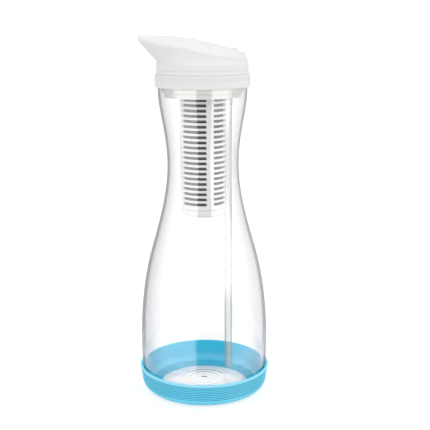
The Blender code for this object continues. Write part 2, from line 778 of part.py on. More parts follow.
def ear_outline():
    """Side view of a hinge ear: a foot sunk in the ledge and a round top about the pin."""
    low = rear_rim - EAR_ROOT
    toe = hinge_x + KNUCKLE_RADIUS + EAR_FOOT
    outline = [(hinge_x - KNUCKLE_RADIUS, low), (toe, low), (toe, rear_rim + EAR_FOOT)]
    outline += arc((hinge_x, hinge_z), KNUCKLE_RADIUS, 0, 180, ROUND_STEPS)
    return outline


def make_spout_body(carrier):
    body = add_object("spout_body", spout_outside(), "white_plastic", carrier)
    spigot = turned([(0.0, body_bottom - SPOUT_SPIGOT_LENGTH),
                     (spout_spigot_radius, body_bottom - SPOUT_SPIGOT_LENGTH),
                     (spout_spigot_radius, body_bottom + WEB_HEIGHT / 2),
                     (0.0, body_bottom + WEB_HEIGHT / 2)], LID_STEPS)
    combine(body, "spout_spigot_guide", spigot, "UNION")
    combine(body, "spout_funnel_guide", spout_inside(), "DIFFERENCE")
    bore = rod((0, 0, body_bottom - 2 * SPOUT_SPIGOT_LENGTH), (0, 0, body_bottom + 2 * WEB_HEIGHT),
               spout_bore, LID_STEPS)
    combine(body, "spout_bore_guide", bore, "DIFFERENCE")
    seat_low = body_bottom - RING_SEAL_SEAT - RING_SEAL_HEIGHT - FIT_GAP
    seat_high = body_bottom - RING_SEAL_SEAT + FIT_GAP
    seat = square_ring(spout_spigot_radius - RING_SEAL_WIDTH - FIT_GAP, core_radius,
                       seat_low, seat_high, LID_STEPS)
    combine(body, "spout_seat_guide", seat, "DIFFERENCE")
    for side in (-1, 1):
        edges = sorted((side * HINGE_HALF, side * (HINGE_HALF - EAR_WIDTH)))
        combine(body, "ear_guide_" + str(side + 1), slab(ear_outline(), *edges), "UNION")
    hole = rod((hinge_x, -2 * HINGE_HALF, hinge_z), (hinge_x, 2 * HINGE_HALF, hinge_z), pin_bore,
               TUBE_STEPS)
    combine(body, "ear_bore_guide", hole, "DIFFERENCE")


def make_spout_seal(carrier):
    """The ring in the spout spigot's seat, which closes it against the lid base."""
    high = body_bottom - RING_SEAL_SEAT
    ring = square_ring(spout_spigot_radius - RING_SEAL_WIDTH, spout_spigot_radius,
                       high - RING_SEAL_HEIGHT, high, LID_STEPS)
    add_object("spout_seal", ring, "clear_seal", carrier)


def crown_height(x):
    """Height of the cover's ridge, a long arc that tops out behind the nose."""
    return crown_z - CROWN_RADIUS + math.sqrt(CROWN_RADIUS ** 2 - (x - crown_x) ** 2)


def cover_rows(shape, inset, lip):
    """Rows of points across the cover, from the nose to the chord, for its skin or its hollow."""
    last = math.pi - math.acos((chord_x - inset) / (ring_radius - inset))
    rows = []
    for angle in beak_angles(last):
        x, y, height = rim_point(angle, inset)
        edge = height + FIT_GAP + lip
        crown = max(crown_height(x) - inset - edge, 0.0)
        row = []
        for j in range(CROWN_STEPS + 1):
            across = 2 * j / CROWN_STEPS - 1
            rise = crown * (1 - abs(across) ** CROWN_SHAPE)
            row.append(shape.verts.new((x, across * y, edge + rise)))
            if y == 0.0:
                break
        if lip > 0.0:
            below = [shape.verts.new((v.co.x, v.co.y, height + FIT_GAP)) for v in (row[0], row[-1])]
            row = [below[0]] + row + [below[1]] if len(row) > 1 else [below[0]] + row
        rows.append(row)
    return rows


def skin(shape, rows):
    """Faces over rows of points, with the first row drawn together at the nose."""
    for here, there in zip(rows[1:], rows[2:]):
        for k in range(len(here) - 1):
            shape.faces.new((here[k], here[k + 1], there[k + 1], there[k]))


def cover_shell():
    shape = bmesh.new()
    outer = cover_rows(shape, 0.0, COVER_LIP)
    inner = cover_rows(shape, COVER_WALL, 0.0)
    skin(shape, outer)
    skin(shape, inner)
    low, high = outer[0]
    first = outer[1]
    shape.faces.new((low, high, first[1], first[0]))
    shape.faces.new((high, low, first[-1], first[-2]))
    for k in range(1, len(first) - 2):
        shape.faces.new((high, first[k], first[k + 1]))
    point = inner[0][0]
    for a, b in zip(inner[1], inner[1][1:]):
        shape.faces.new((point, a, b))
    shape.faces.new(outer[-1])
    shape.faces.new(inner[-1])
    left = [low] + [row[0] for row in outer[1:]]
    right = [low] + [row[-1] for row in outer[1:]]
    for edge, end in ((left, 0), (right, -1)):
        rim = [row[end] for row in inner]
        for i in range(len(edge) - 1):
            shape.faces.new((edge[i], edge[i + 1], rim[i + 1], rim[i]))
    shape.faces.new((left[-1], right[-1], inner[-1][-1], inner[-1][0]))
    return shape


def make_flip_cover(carrier):
    cover = add_object("flip_cover", cover_shell(), "white_plastic", carrier)
    outline = [(chord_x - KNUCKLE_ROOT, hinge_z - KNUCKLE_WEB / 2),
               (hinge_x, hinge_z - KNUCKLE_WEB / 2)]
    outline += arc((hinge_x, hinge_z), KNUCKLE_RADIUS, -KNUCKLE_SWEEP, KNUCKLE_SWEEP, ROUND_STEPS)
    outline += [(hinge_x, hinge_z + KNUCKLE_WEB / 2),
                (chord_x - KNUCKLE_ROOT, hinge_z + KNUCKLE_WEB / 2)]
    combine(cover, "knuckle_web_guide", slab(outline, -knuckle_half, knuckle_half), "UNION")
    barrel = rod((hinge_x, -knuckle_half, hinge_z), (hinge_x, knuckle_half, hinge_z),
                 KNUCKLE_RADIUS, TUBE_STEPS)
    combine(cover, "knuckle_guide", barrel, "UNION")
    hole = rod((hinge_x, -2 * HINGE_HALF, hinge_z), (hinge_x, 2 * HINGE_HALF, hinge_z), pin_bore,
               TUBE_STEPS)
    combine(cover, "knuckle_bore_guide", hole, "DIFFERENCE")
    top = crown_height(chord_x)
    outline = [(chord_x - TAB_RADIUS, top - TAB_ROOT), (chord_x + TAB_RADIUS, top - TAB_ROOT)]
    outline += arc((chord_x, top), TAB_RADIUS, 0, 180, ROUND_STEPS)
    combine(cover, "thumb_tab_guide", slab(outline, -TAB_HALF, TAB_HALF), "UNION")


def make_hinge_pin(carrier):
    pin = rod((hinge_x, -HINGE_HALF, hinge_z), (hinge_x, HINGE_HALF, hinge_z), PIN_RADIUS, TUBE_STEPS)
    add_object("hinge_pin", pin, "steel", carrier)


def main():
    clear_scene()
    make_materials()
    boot_axis = add_empty("boot_axis", (0.0, 0.0, base_z))
    lid_axis = add_empty("lid_axis", (0.0, 0.0, rim_z))
    cover_axis = add_empty("cover_axis", (hinge_x, 0.0, hinge_z), lid_axis)
    screw_axis = add_empty("screw_axis", (0.0, 0.0, ceiling), lid_axis)
    make_bottle()
    make_boot(boot_axis)
    make_stopper(lid_axis)
    make_lid_base(lid_axis)
    make_vent_tube(lid_axis)
    make_spout_body(lid_axis)
    make_spout_seal(lid_axis)
    make_hinge_pin(lid_axis)
    make_flip_cover(cover_axis)
    make_cartridge_seal(screw_axis)
    make_cartridge_cap(screw_axis)
    make_housing(screw_axis)
    make_cartridge_foot(screw_axis)
    make_cartridge_filling(screw_axis)


main()
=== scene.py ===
"""Looks of a glass filter carafe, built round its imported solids.

The file is laid out as an add-on: sizes and colours are properties, each piece or group of like
pieces has an operator, and a panel in the sidebar lists them. Metres, +Z up, the beak along -X.
"""
import json
import math

import bmesh
import bpy
from bpy.props import FloatProperty, FloatVectorProperty, IntProperty, PointerProperty
from mathutils import Matrix, Vector


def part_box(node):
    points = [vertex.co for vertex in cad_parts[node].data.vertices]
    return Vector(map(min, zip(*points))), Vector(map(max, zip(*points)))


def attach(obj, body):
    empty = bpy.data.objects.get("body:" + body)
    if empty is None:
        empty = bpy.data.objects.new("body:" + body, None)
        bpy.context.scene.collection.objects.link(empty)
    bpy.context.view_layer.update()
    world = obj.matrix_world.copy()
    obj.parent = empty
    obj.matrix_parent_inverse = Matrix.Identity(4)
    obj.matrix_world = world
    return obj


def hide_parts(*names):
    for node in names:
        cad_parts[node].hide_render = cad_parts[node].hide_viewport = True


bl_info = {
    "name": "Filter Carafe",
    "version": (1, 0, 0),
    "blender": (4, 5, 0),
    "location": "View3D > Sidebar > Carafe",
    "description": "Builds the pieces, finishes and studio of a glass filter carafe",
    "category": "Add Mesh",
}

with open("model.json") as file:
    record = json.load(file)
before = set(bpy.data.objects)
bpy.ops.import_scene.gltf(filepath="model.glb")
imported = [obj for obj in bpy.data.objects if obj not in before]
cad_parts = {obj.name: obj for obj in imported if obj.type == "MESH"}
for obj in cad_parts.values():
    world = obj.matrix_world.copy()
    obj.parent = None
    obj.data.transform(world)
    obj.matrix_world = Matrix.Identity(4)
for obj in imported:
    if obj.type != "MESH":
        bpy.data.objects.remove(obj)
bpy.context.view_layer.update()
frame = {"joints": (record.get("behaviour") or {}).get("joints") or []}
bottle_low, bottle_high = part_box("bottle")
_, boot_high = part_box("base_boot")
stopper_low, stopper_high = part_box("mouth_stopper")
tube_low, tube_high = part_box("vent_tube")
housing_low, housing_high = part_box("cartridge_housing")
cap_low, cap_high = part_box("cartridge_cap")
foot_low, foot_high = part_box("cartridge_foot")
mesh_low, mesh_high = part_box("mesh_sleeve")
hinge_x, _, hinge_z = next(j["pos_m"] for j in frame["joints"] if j["name"] == "cover_flip")

# Tolerances, in metres.
WELD = 1e-6             # points nearer than this become one
SLOT_WELD = 2e-6        # the same for the slots, after they are wrapped round
SLIVER = 1e-7           # edges shorter than this are dissolved
LEVEL = 1e-9            # an edge that climbs less than this lies in the end of a slab
RIM_LEVEL = 1e-5        # an edge nearer than this to the housing's end lies in its rim

# Edges bent by more than this stay sharp: on most pieces, and on the soft boot.
SHARP, SOFT_SHARP = math.radians(35), math.radians(60)

# Faces round the small sections that the trees sweep, and along their paths.
WIRE_SIDES, HOOP_STEPS = 4, 72
RIDGE_SIDES, HELIX_STEPS = 10, 36
BAR_SIDES, SCREEN_STEPS = 6, 48

# Shares and counts that shape the pieces.
GRID_HALF = 0.5         # half the side of the grid that is turned
ROW_HALF = 0.499        # just under half a pitch, to tell the outermost edges of the slots
SMALLEST_GRAIN = 0.55   # least size of a grain over the greatest
SIDE_SHARE = 0.45       # most of a side that a rounded corner takes
NUDGE = 0.01            # share of a stretch of the bottle over which its slope is taken
BEVEL = 0.3             # where the middle of a rounded edge lies, as a share of its size
# Painted shade: the tinted top of the bottle's floor stands in for the shadow under the bottle.
FLOOR_MARGIN = 1.1      # how far the tinted top of the bottle's floor reaches, in floors
COLLAR_TURN = -60       # where the rounding under the collar ends, in degrees
SOCKET_RIDGE = 0.1      # how far the middle of the socket's thread lies from its wall, in ridges
NECK_RIDGE = 0.3        # the same for the neck's thread
BLEND_STEPS = 4         # samples on each side when the beak is eased into the ring
RIM_ROUNDS = 24         # rounds in which the height of the rim settles
COVER_BEND = 0.4        # most of the cover's half width that its rounding takes
CORNER_STEPS = 4        # faces round a slot's corner
WIRE_LIFT = 0.7         # how far the wires stand out of the liner, in wire radii
PAD_ROUND = 0.3         # rounding of a pad over its height
SCREEN_ROUND = 0.4      # rounding of a screen's rim over half its height
SCREEN_BAR = 0.8        # radius of a screen's bar over half its height

NEAR_WALLS = 1.5        # a mirrored ray passes straight through fewer walls of glass than this
TOP_WAY = (-0.1, 0.1, -1.0)     # the way that the top lamp shines
CARBON_SEED, MINERAL_SEED = 7, 11   # seeds of the grains


def length(label, default, description):
    return FloatProperty(name=label, description=description, default=default,
                         unit="LENGTH", precision=5)


def ratio(label, default, description):
    return FloatProperty(name=label, description=description, default=default, precision=4)


def number(label, default, description):
    return IntProperty(name=label, description=description, default=default, min=1)


def turn(label, default, description):
    return FloatProperty(name=label, description=description, default=math.radians(default),
                         subtype="ANGLE")


def turns(label, default, description):
    """Several angles, given in degrees."""
    return FloatVectorProperty(name=label, description=description, size=len(default),
                               unit="ROTATION",
                               default=[math.radians(value) for value in default])


def box_angles(label, default, description):
    """Where a soft box or card begins and ends on the wall, in degrees."""
    return turns(label, default, description + ": start, its fade, end and its fade")


def stretch(label, default, description):
    return FloatVectorProperty(name=label, description=description, size=2, unit="LENGTH",
                               default=default)


def colour(label, default, description):
    return FloatVectorProperty(name=label, description=description, default=default, size=3,
                               min=0.0, max=1.0, subtype="COLOR")


class BottleSizes(bpy.types.PropertyGroup):
    """The hourglass bottle, by the heights and radii that its outside passes through."""
    wall: length("Wall", 0.002, "Thickness of the side")
    floor: length("Floor", 0.003, "Thickness of the floor")
    heel_radius: length("Heel radius", 0.0508, "Outside radius where the heel meets the side")
    heel_rounding: length("Heel rounding", 0.0085, "Radius of the heel's rounding")
    heel_slope: ratio("Heel slope", 0.19, "How fast the side leans out above the heel")
    belly_radius: length("Belly radius", 0.05315, "Outside radius of the belly")
    belly_height: length("Belly height", 0.040, "Height of the belly")
    shoulder_radius: length("Shoulder radius", 0.0428, "Outside radius of the shoulder")
    shoulder_height: length("Shoulder height", 0.1235, "Height of the shoulder")
    shoulder_slope: ratio("Shoulder slope", -0.29, "How fast the shoulder draws in")
    waist_radius: length("Waist radius", 0.0292, "Outside radius of the waist")
    waist_height: length("Waist height", 0.1937, "Height of the waist")
    flare_radius: length("Flare radius", 0.0330, "Outside radius half way up the flare")
    flare_height: length("Flare height", 0.2285, "Height half way up the flare")
    flare_slope: ratio("Flare slope", 0.182, "How fast the flare opens")
    mouth_radius: length("Mouth radius", 0.0363, "Outside radius of the mouth")
    mouth_height: length("Mouth height", 0.2552, "Height where the straight mouth begins")
    punt_radius: length("Dome radius", 0.035, "Radius of the dome in the floor")
    punt_height: length("Dome height", 0.002, "Height of the dome in the floor")
    # Painted shade: how far the glass tints are laid on the top of the floor, standing in for the
    # shadow under the bottle.
    floor_painted_shade: ratio("Floor tone", 0.7, "How far the slant of the heavy floor tints it")
    ripple_depth: length("Ripple depth", 0.000055, "Depth of the moulding rings under the floor")
    ripple_pitch: length("Ripple pitch", 0.0057, "Distance between the moulding rings")
    ripple_radius: length("Ripple radius", 0.0155, "Radius where the moulding rings are deepest")
    ripple_reach: length("Ripple reach", 0.0075, "Distance from there in which they fade")
    gate_radius: length("Gate radius", 0.0016, "Radius of the moulding gate's mark")
    gate_depth: length("Gate depth", 0.0007, "Depth of the moulding gate's mark")
    curve_steps: number("Curve steps", 12, "Points along each stretch of the side")
    dome_steps: number("Dome steps", 72, "Points across the floor's dome")
    steps: number("Steps", 160, "Faces round the bottle")


class BootSizes(bpy.types.PropertyGroup):
    """The silicone boot round the bottle's heel."""
    wall: length("Wall", 0.0022, "Thickness of the silicone")
    gap: length("Gap", 0.0003, "Air between the boot and the glass")
    lip: length("Lip", 0.0051, "Width of the ring that the bottle stands on")
    band: length("Band", 0.003, "Height of the plain rim band")
    groove_count: number("Grooves", 8, "Level grooves below the rim band")
    groove_pitch: length("Groove pitch", 0.0016, "Distance between grooves")
    groove_depth: length("Groove depth", 0.00065, "Depth of a groove")
    groove_width: length("Groove width", 0.00050, "Half width of a groove")
    edge: length("Edge", 0.00055, "Rounding of the edge of the open centre")
    rows: number("Rows", 10, "Points across each groove")
    inner_rows: number("Inner rows", 6, "Points up the inside")
    steps: number("Steps", 128, "Faces round the boot")


class StopperSizes(bpy.types.PropertyGroup):
    """The silicone stopper and the hard lid base inside it."""
    collar_inner: length("Collar bore", 0.0366, "Inside radius of the collar")
    collar_bottom: length("Collar bottom", 0.2562, "Height of the collar's lower edge")
    collar_rounding: length("Collar rounding", 0.0014, "Radius of the collar's edges")
    collar_edge: length("Collar edge", 0.0002, "Bevel inside the collar's lower edge")
    web_height: length("Web height", 0.2618, "Height at which the collar lies on the rim")
    # Painted shade: the band where the collar turns grey above the rim.
    collar_shade_fade: stretch("Solid fade", (-0.0012, 0.0008), "Where the collar greys, from there")
    sleeve_inner: length("Sleeve bore", 0.0302, "Inside radius of the sleeve")
    sleeve_radius: length("Sleeve radius", 0.0335, "Outside radius of the sleeve")
    # Painted light: the height over which the sleeve is lit paler.
    sleeve_light_fade: length("Sleeve fade", 0.0006, "Height over which the sleeve pales")
    bead_count: number("Beads", 2, "Sealing beads on the sleeve")
    bead_height: length("Bead height", 0.0004, "How far a bead stands out")
    bead_width: length("Bead width", 0.0016, "Width of a bead")
    bead_steps: number("Bead steps", 8, "Faces across a bead")
    core_inner: length("Core bore", 0.0279, "Inside radius of the lid base")
    core_radius: length("Core radius", 0.0299, "Outside radius of the lid base's skirt")
    flange_out: length("Flange", 0.0015, "How far the lower flange stands out")
    flange_top: length("Flange top", 0.2522, "Height of the flange's upper face")
    flange_height: length("Flange height", 0.0037, "Height of the flange")
    ceiling: length("Ceiling", 0.2569, "Height of the ceiling's lower face")
    ceiling_wall: length("Ceiling wall", 0.0025, "Thickness of the ceiling")
    band_bottom: length("Band bottom", 0.26685, "Height of the band's lower face")
    band_top: length("Band top", 0.2700, "Height of the band's upper face")
    socket_bore: length("Socket bore", 0.0121, "Inside radius of the thread socket")
    socket_wall: length("Socket wall", 0.0018, "Thickness of the thread socket")
    socket_top: length("Socket top", 0.2674, "Height of the thread socket")
    nipple_radius: length("Nipple radius", 0.00245, "Outside radius of the vent nipple")
    nipple_bore: length("Nipple bore", 0.0014, "Inside radius of the vent nipple")
    nipple_length: length("Nipple length", 0.012, "Length of the vent nipple")
    tube_x: length("Tube place", 0.0233, "Distance of the vent tube from the axis")
    tube_radius: length("Tube radius", 0.0032, "Outside radius of the vent tube")
    tube_wall: length("Tube wall", 0.001, "Thickness of the vent tube")
    bell_radius: length("Bell radius", 0.00365, "Outside radius of the tube's bell end")
    bell_wall: length("Bell wall", 0.0009, "Thickness of the bell end")
    bell_length: length("Bell length", 0.0155, "Length of the bell end")
    edge: length("Edge", 0.0003, "Rounding of the moulded edges")
    steps: number("Steps", 128, "Faces round the stopper")
    tube_steps: number("Tube steps", 40, "Faces round the vent tube")


class LidSizes(bpy.types.PropertyGroup):
    """The spout body with its beak, the flip cover and their hinge."""
    ring_radius: length("Ring radius", 0.0372, "Outside radius of the ring")
    body_bottom: length("Body bottom", 0.27005, "Height of the ring's lower face")
    ring_top: length("Ring top", 0.2752, "Height at which the beak begins")
    rear_rim: length("Rear rim", 0.2777, "Height of the rim at the hinge")
    web: length("Web", 0.00225, "Thickness of the floor inside the ring")
    beak_length: length("Beak length", 0.0181, "How far the beak stands out of the ring")
    beak_rise: length("Beak rise", 0.0161, "How far the rim climbs to the nose")
    beak_curve: ratio("Beak curve", 1.67, "How the rim climbs towards the nose")
    keel_curve: ratio("Keel curve", 0.96, "How the beak's front edge leans out")
    nose_radius: length("Nose radius", 0.003, "Radius of the nose seen from above")
    wall: length("Wall", 0.0022, "Thickness of the beak's wall and of the cover")
    spigot_radius: length("Spigot radius", 0.0276, "Outside radius of the spigot below the ring")
    spigot_length: length("Spigot length", 0.00625, "Length of the spigot")
    bore: length("Bore", 0.0247, "Inside radius of the spigot")
    seal_seat: length("Seal seat", 0.00195, "Distance of the sealing ring below the ring")
    seal_height: length("Seal height", 0.002, "Height of the sealing ring")
    seal_width: length("Seal width", 0.0011, "Width of the sealing ring")
    cover_gap: length("Cover gap", 0.00006, "Air between the cover and the rim")
    cover_lip: length("Cover lip", 0.00194, "Height of the cover's upright edge")
    cover_round: length("Cover rounding", 0.0011, "Rounding between the edge and the dome")
    cover_nose: length("Cover nose", 0.0016, "Rounding of the dome at the nose")
    chord_x: length("Chord", 0.0286, "Where the cover ends in a straight chord")
    crown_radius: length("Crown radius", 0.237, "Radius of the dome's ridge")
    crown_back: length("Crown back", 0.0064, "Distance from the nose to the ridge's top")
    crown_height: length("Crown height", 0.0019, "Height of the ridge's top over the nose")
    crown_shape: ratio("Crown shape", 2.0, "How the dome falls away to its edge")
    knuckle_radius: length("Knuckle radius", 0.0021, "Radius of the hinge's knuckle and ears")
    knuckle_web: length("Knuckle web", 0.0028, "Height of the web behind the knuckle")
    ear_width: length("Ear width", 0.003, "Width of a hinge ear")
    ear_foot: length("Ear foot", 0.0012, "How far the foot of an ear stands out")
    hinge_half: length("Hinge half", 0.008, "Half the length of the hinge")
    hinge_gap: length("Hinge gap", 0.0003, "Clearance round the pin and between the ears")
    pin_radius: length("Pin radius", 0.0009, "Radius of the hinge pin")
    tab_radius: length("Tab radius", 0.002, "Radius of the thumb tab")
    tab_half: length("Tab half", 0.005, "Half the length of the thumb tab")
    blend: turn("Blend", 14.0, "Angle over which the beak's flat sides run into the ring")
    ring_step: length("Ring step", 0.00012, "How far the wall stands in from the ring below it")
    flare_depth: length("Flare depth", 0.0008, "How far the wall draws in above the ring")
    flare_height: length("Flare height", 0.0045, "Height over which the wall draws in")
    flare_start: turn("Flare start", 22.0, "Angle from the nose where the wall begins to draw in")
    flare_fade: turn("Flare fade", 30.0, "Angle over which the drawing in grows")
    edge: length("Edge", 0.00025, "Rounding of the moulded edges")
    rim_edge: length("Rim edge", 0.00008, "Rounding of the rim under the cover")
    columns: number("Columns", 88, "Columns of faces on each side of the beak")
    crowding: ratio("Crowding", 1.6, "How the columns crowd towards the nose")
    rows: number("Rows", 16, "Rows of faces up the beak's wall")
    dome_steps: number("Dome steps", 44, "Faces across the dome")
    pin_steps: number("Pin steps", 32, "Faces round the hinge pin and its bores")
    seal_steps: number("Seal steps", 96, "Faces round the sealing ring")


class CartridgeSizes(bpy.types.PropertyGroup):
    """The slotted filter cartridge that screws up into the lid."""
    radius: length("Radius", 0.0192, "Outside radius at the top")
    draft: length("Draft", 0.0007, "How much the housing narrows towards its foot")
    inner: length("Bore", 0.0169, "Inside radius of the housing")
    slot_rows: number("Slot rows", 21, "Level slots in a column")
    slot_columns: number("Slot columns", 4, "Columns of slots")
    slot_pitch: length("Slot pitch", 0.00423, "Distance between slots")
    slot_height: length("Slot height", 0.0024, "Height of a slot")
    slot_sweep: turn("Slot sweep", 73.0, "Angle that a slot takes up")
    slot_start: turn("Slot start", -178.2, "Angle at which the first column begins")
    slot_margin: length("Slot margin", 0.0048, "Distance from the first slot to the edge")
    slot_round: length("Slot rounding", 0.0008, "Rounding of a slot's corners")
    slot_edge: length("Slot edge", 0.00022, "Bevel round a slot")
    slot_steps: number("Slot steps", 14, "Faces along a slot")
    neck_radius: length("Neck radius", 0.0107, "Outside radius of the screw neck")
    neck_bore: length("Neck bore", 0.008, "Inside radius of the screw neck")
    shoulder: length("Shoulder", 0.003, "Height of the cap's shoulder")
    spigot_height: length("Spigot height", 0.0025, "Height of the spigots in the housing")
    spigot_wall: length("Spigot wall", 0.002, "Thickness of the cap's spigot")
    fit_gap: length("Fit gap", 0.0003, "Clearance of the spigots")
    foot_round: length("Foot rounding", 0.0025, "Rounding of the foot")
    foot_dish: ratio("Foot dish", 0.55, "Share of the foot's radius that is sunk")
    thread_pitch: length("Thread pitch", 0.004, "Climb of the thread in a turn")
    thread_turns: ratio("Thread turns", 1.5, "Turns of the thread")
    thread_radius: length("Thread radius", 0.0008, "Radius of the thread's ridge")
    thread_start: length("Thread start", 0.0016, "Height of the thread above the ceiling")
    wire_rings: number("Wire rings", 92, "Level wires of the mesh sleeve")
    wire_stays: number("Wire stays", 104, "Upright wires of the mesh sleeve")
    wire_radius: length("Wire radius", 0.00013, "Radius of a wire of the mesh sleeve")
    carbon_size: length("Carbon grain", 0.0011, "Size of a carbon grain")
    mineral_size: length("Mineral grain", 0.0019, "Size of a mineral grain")
    grain_density: ratio("Grain density", 260000.0, "Grains on a square metre of a bed")
    screen_rings: number("Screen rings", 4, "Rings of a filter screen")
    screen_bars: number("Screen bars", 16, "Spokes of a filter screen")
    edge: length("Edge", 0.0003, "Rounding of the moulded edges")
    steps: number("Steps", 96, "Faces round the cartridge")
    sleeve_steps: number("Sleeve steps", 72, "Faces round the mesh sleeve")
    layer_steps: number("Layer steps", 64, "Faces round the pads and screens")
    bed_steps: number("Bed steps", 48, "Faces round the beds")


class CarafeColours(bpy.types.PropertyGroup):
    """Colours of the finishes."""
    glass: colour("Glass", (0.996, 0.997, 0.999), "Clear glass seen straight on")
    # Painted shade on the glass: the next three colours are laid on by how slantwise it is seen, a
    # grey haze at a slant, a grey at the outline and a dark tint along the wall, standing in for
    # the darker studio it reflects there.
    glass_slant_painted_shade: colour("Glass haze", (0.545, 0.535, 0.575), "Clear glass seen at a slant")
    glass_outline_painted_shade: colour("Glass rim", (0.66, 0.66, 0.68), "Glass at its outline, where gloss fades")
    glass_wall_painted_shade: colour("Glass edge", (0.14, 0.14, 0.155), "Clear glass seen along its wall")
    glass_light: colour("Glass light", (0.995, 0.995, 0.995), "Light that each face lets in")
    silicone: colour("Boot", (0.185, 0.73, 0.94), "Blue silicone")
    silicone_pale: colour("Boot bloom", (0.22, 0.74, 0.94), "Pale bloom on the blue silicone")
    # Painted highlight: a paler band along the rim, standing in for light on its rounded top.
    silicone_rim_painted_highlight: colour("Boot rim", (0.32, 0.76, 0.94), "Rim band of the blue silicone")
    # Painted light: a deeper, purer blue on the inside, standing in for how it is lit through the
    # glass.
    silicone_inside_painted_light: colour("Boot inside", (0.06, 0.62, 0.88), "Inside of the blue silicone")
    # Painted shade: the darker blue held in the grooves.
    silicone_groove_painted_shade: colour("Boot grooves", (0.015, 0.27, 0.46), "Grooves of the blue silicone")
    collar: colour("Collar", (0.86, 0.855, 0.845), "Frosted silicone of the collar")
    # Painted shade: the greyer collar over the rim; also the second random tint of the clear
    # seals.
    seal_tint_and_collar_shade: colour("Collar solid", (0.79, 0.80, 0.80), "Frosted silicone above the rim")
    # Partly the sleeve's own cream tint, partly painted light that makes it paler.
    sleeve: colour("Sleeve", (0.99, 0.955, 0.90), "Frosted silicone of the thin sleeve")
    white: colour("White", (0.86, 0.86, 0.862), "White plastic")
    white_shade: colour("White shade", (0.84, 0.84, 0.845), "Second tint of white plastic")
    tube: colour("Tube", (0.97, 0.965, 0.955), "Frosted tube")
    # Painted shade: a dark grey laid on the tube's outline.
    tube_outline_painted_shade: colour("Tube edge", (0.21, 0.205, 0.20), "Frosted tube seen along its wall")
    seal: colour("Seal", (0.72, 0.74, 0.74), "Clear silicone rings")
    steel: colour("Steel", (0.60, 0.60, 0.61), "Hinge pin")
    mesh: colour("Mesh", (0.075, 0.075, 0.078), "Black mesh sleeve")
    carbon: colour("Carbon", (0.014, 0.014, 0.015), "Carbon grains")
    mineral: colour("Mineral", (0.45, 0.31, 0.21), "Mineral grains")
    felt: colour("Felt", (0.80, 0.80, 0.78), "Felt pads")
    floor: colour("Floor", (0.90, 0.90, 0.90), "Pale floor, as it lights the carafe")
    floor_seen: colour("Floor seen", (0.36, 0.36, 0.36), "Part of the floor that takes the shadow")


class StudioSettings(bpy.types.PropertyGroup):
    """Camera, lamps, floor and the wall that shows in the glass."""
    azimuth: turn("Azimuth", 25.0, "Angle of the view round the carafe")
    distance: length("Distance", 0.745517, "Distance of the camera from the axis")
    height: length("Height", 0.31209, "Height of the camera")
    pitch: turn("Pitch", 12.2646, "How far the camera looks down")
    roll: turn("Roll", -0.36985, "How far the camera leans")
    focal: ratio("Focal", 2.13078, "Focal length over the width of the picture")
    shift: ratio("Shift", 0.02714, "How far the picture's middle stands right of the axis")
    view_depth: stretch("View depth", (0.01, 50.0), "Nearest and furthest that the camera sees")
    ambient: ratio("Ambient", 0.83, "Strength of the light from all round")
    backdrop: ratio("Backdrop", 1.15, "Strength of the white backdrop, as it is seen")
    fill: ratio("Floor glow", 0.73, "How far the floor is lifted towards white")
    key: ratio("Key", 0.09, "Strength of the soft light from the left")
    side: ratio("Side", 0.16, "Strength of the soft light from the right")
    top: ratio("Top", 0.05, "Strength of the soft light from above")
    key_angle: turn("Key angle", -50.0, "Angle of the left light, to the right of the camera")
    key_height: ratio("Key height", 0.75, "Height of the left light over its distance")
    side_angle: turn("Side angle", 50.0, "Angle of the right light")
    side_height: ratio("Side height", 0.7, "Height of the right light over its distance")
    lamp_spread: turn("Lamp spread", 70.0, "Angle that each light takes up in the sky")
    table: length("Table", 0.13, "Radius of the pale round floor")
    table_drop: length("Table drop", 0.0002, "Air between the boot and the floor")
    table_steps: number("Table steps", 96, "Sides of the floor")
    box_level: ratio("Box level", 3.5, "Strength of the soft boxes that show in the glass")
    box_foot: ratio("Box foot", 0.68, "Share of that strength at the foot of the boxes")
    left_box: box_angles("Left box", (14.4, 0.3, 66.0, 0.5), "Left box, in angles from the camera")
    left_foot: box_angles("Left foot", (12.0, 0.3, 55.0, 55.0), "Foot of the left box")
    right_box: box_angles("Right box", (21.0, 0.3, 66.0, 0.5), "Right box, in the same angles")
    right_foot: box_angles("Right foot", (44.0, 14.0, 60.0, 50.0), "Foot of the right box")
    foot_span: stretch("Foot span", (-0.03, 0.04), "Heights between which the boxes gain strength")
    sill_span: stretch("Sill span", (0.08, 0.125), "Heights between which the right box begins")
    card: box_angles("Card", (100.0, 55.0, 112.0, 36.0), "White card, in angles from the camera")
    card_level: ratio("Card level", 1.2, "Strength of the white card")
    left_card: ratio("Left card", 0.62, "Share of that strength on the left")
    back_level: ratio("Back level", 0.38, "Strength of the grey wall behind the carafe")
    back_span: turns("Back span", (75.0, 110.0), "Angles between which the wall pales")
    wall_distance: length("Wall distance", 0.3, "Distance of the studio's wall from the axis")
    wall_span: stretch("Wall span", (-0.35, 0.65), "Heights between which the wall stands")
    wall_columns: number("Wall columns", 720, "Faces round the wall")
    wall_rows: number("Wall rows", 100, "Faces up the wall")


class Nodes:
    """A node tree, with short ways to add nodes to it."""

    def __init__(self, tree):
        self.nodes, self.links = tree.nodes, tree.links

    def give(self, target, value):
        """Link a socket to another node's output, or set it to a plain value."""
        if isinstance(value, bpy.types.NodeSocket):
            self.links.new(value, target)
        else:
            target.default_value = value

    def add(self, kind, sockets=None, **settings):
        """Add a node, set it up and return its outputs."""
        node = self.nodes.new(kind)
        for key, value in settings.items():
            setattr(node, key, value)
        for key, value in (sockets or {}).items():
            if isinstance(key, str):    # some nodes have a socket of that name for each type
                target = next(s for s in node.inputs if s.name == key and s.enabled)
            else:
                target = node.inputs[key]
            self.give(target, value)
        return node.outputs

    def math(self, operation, *values):
        return self.add("ShaderNodeMath", dict(enumerate(values)), operation=operation)[0]

    def seen(self):
        """1 for rays that see the plain white background, and 0 for those that only light."""
        path = self.add("ShaderNodeLightPath")
        gloss = self.math("MAXIMUM", path["Is Glossy Ray"], path["Is Transmission Ray"])
        return self.math("MAXIMUM", path["Is Camera Ray"], gloss)


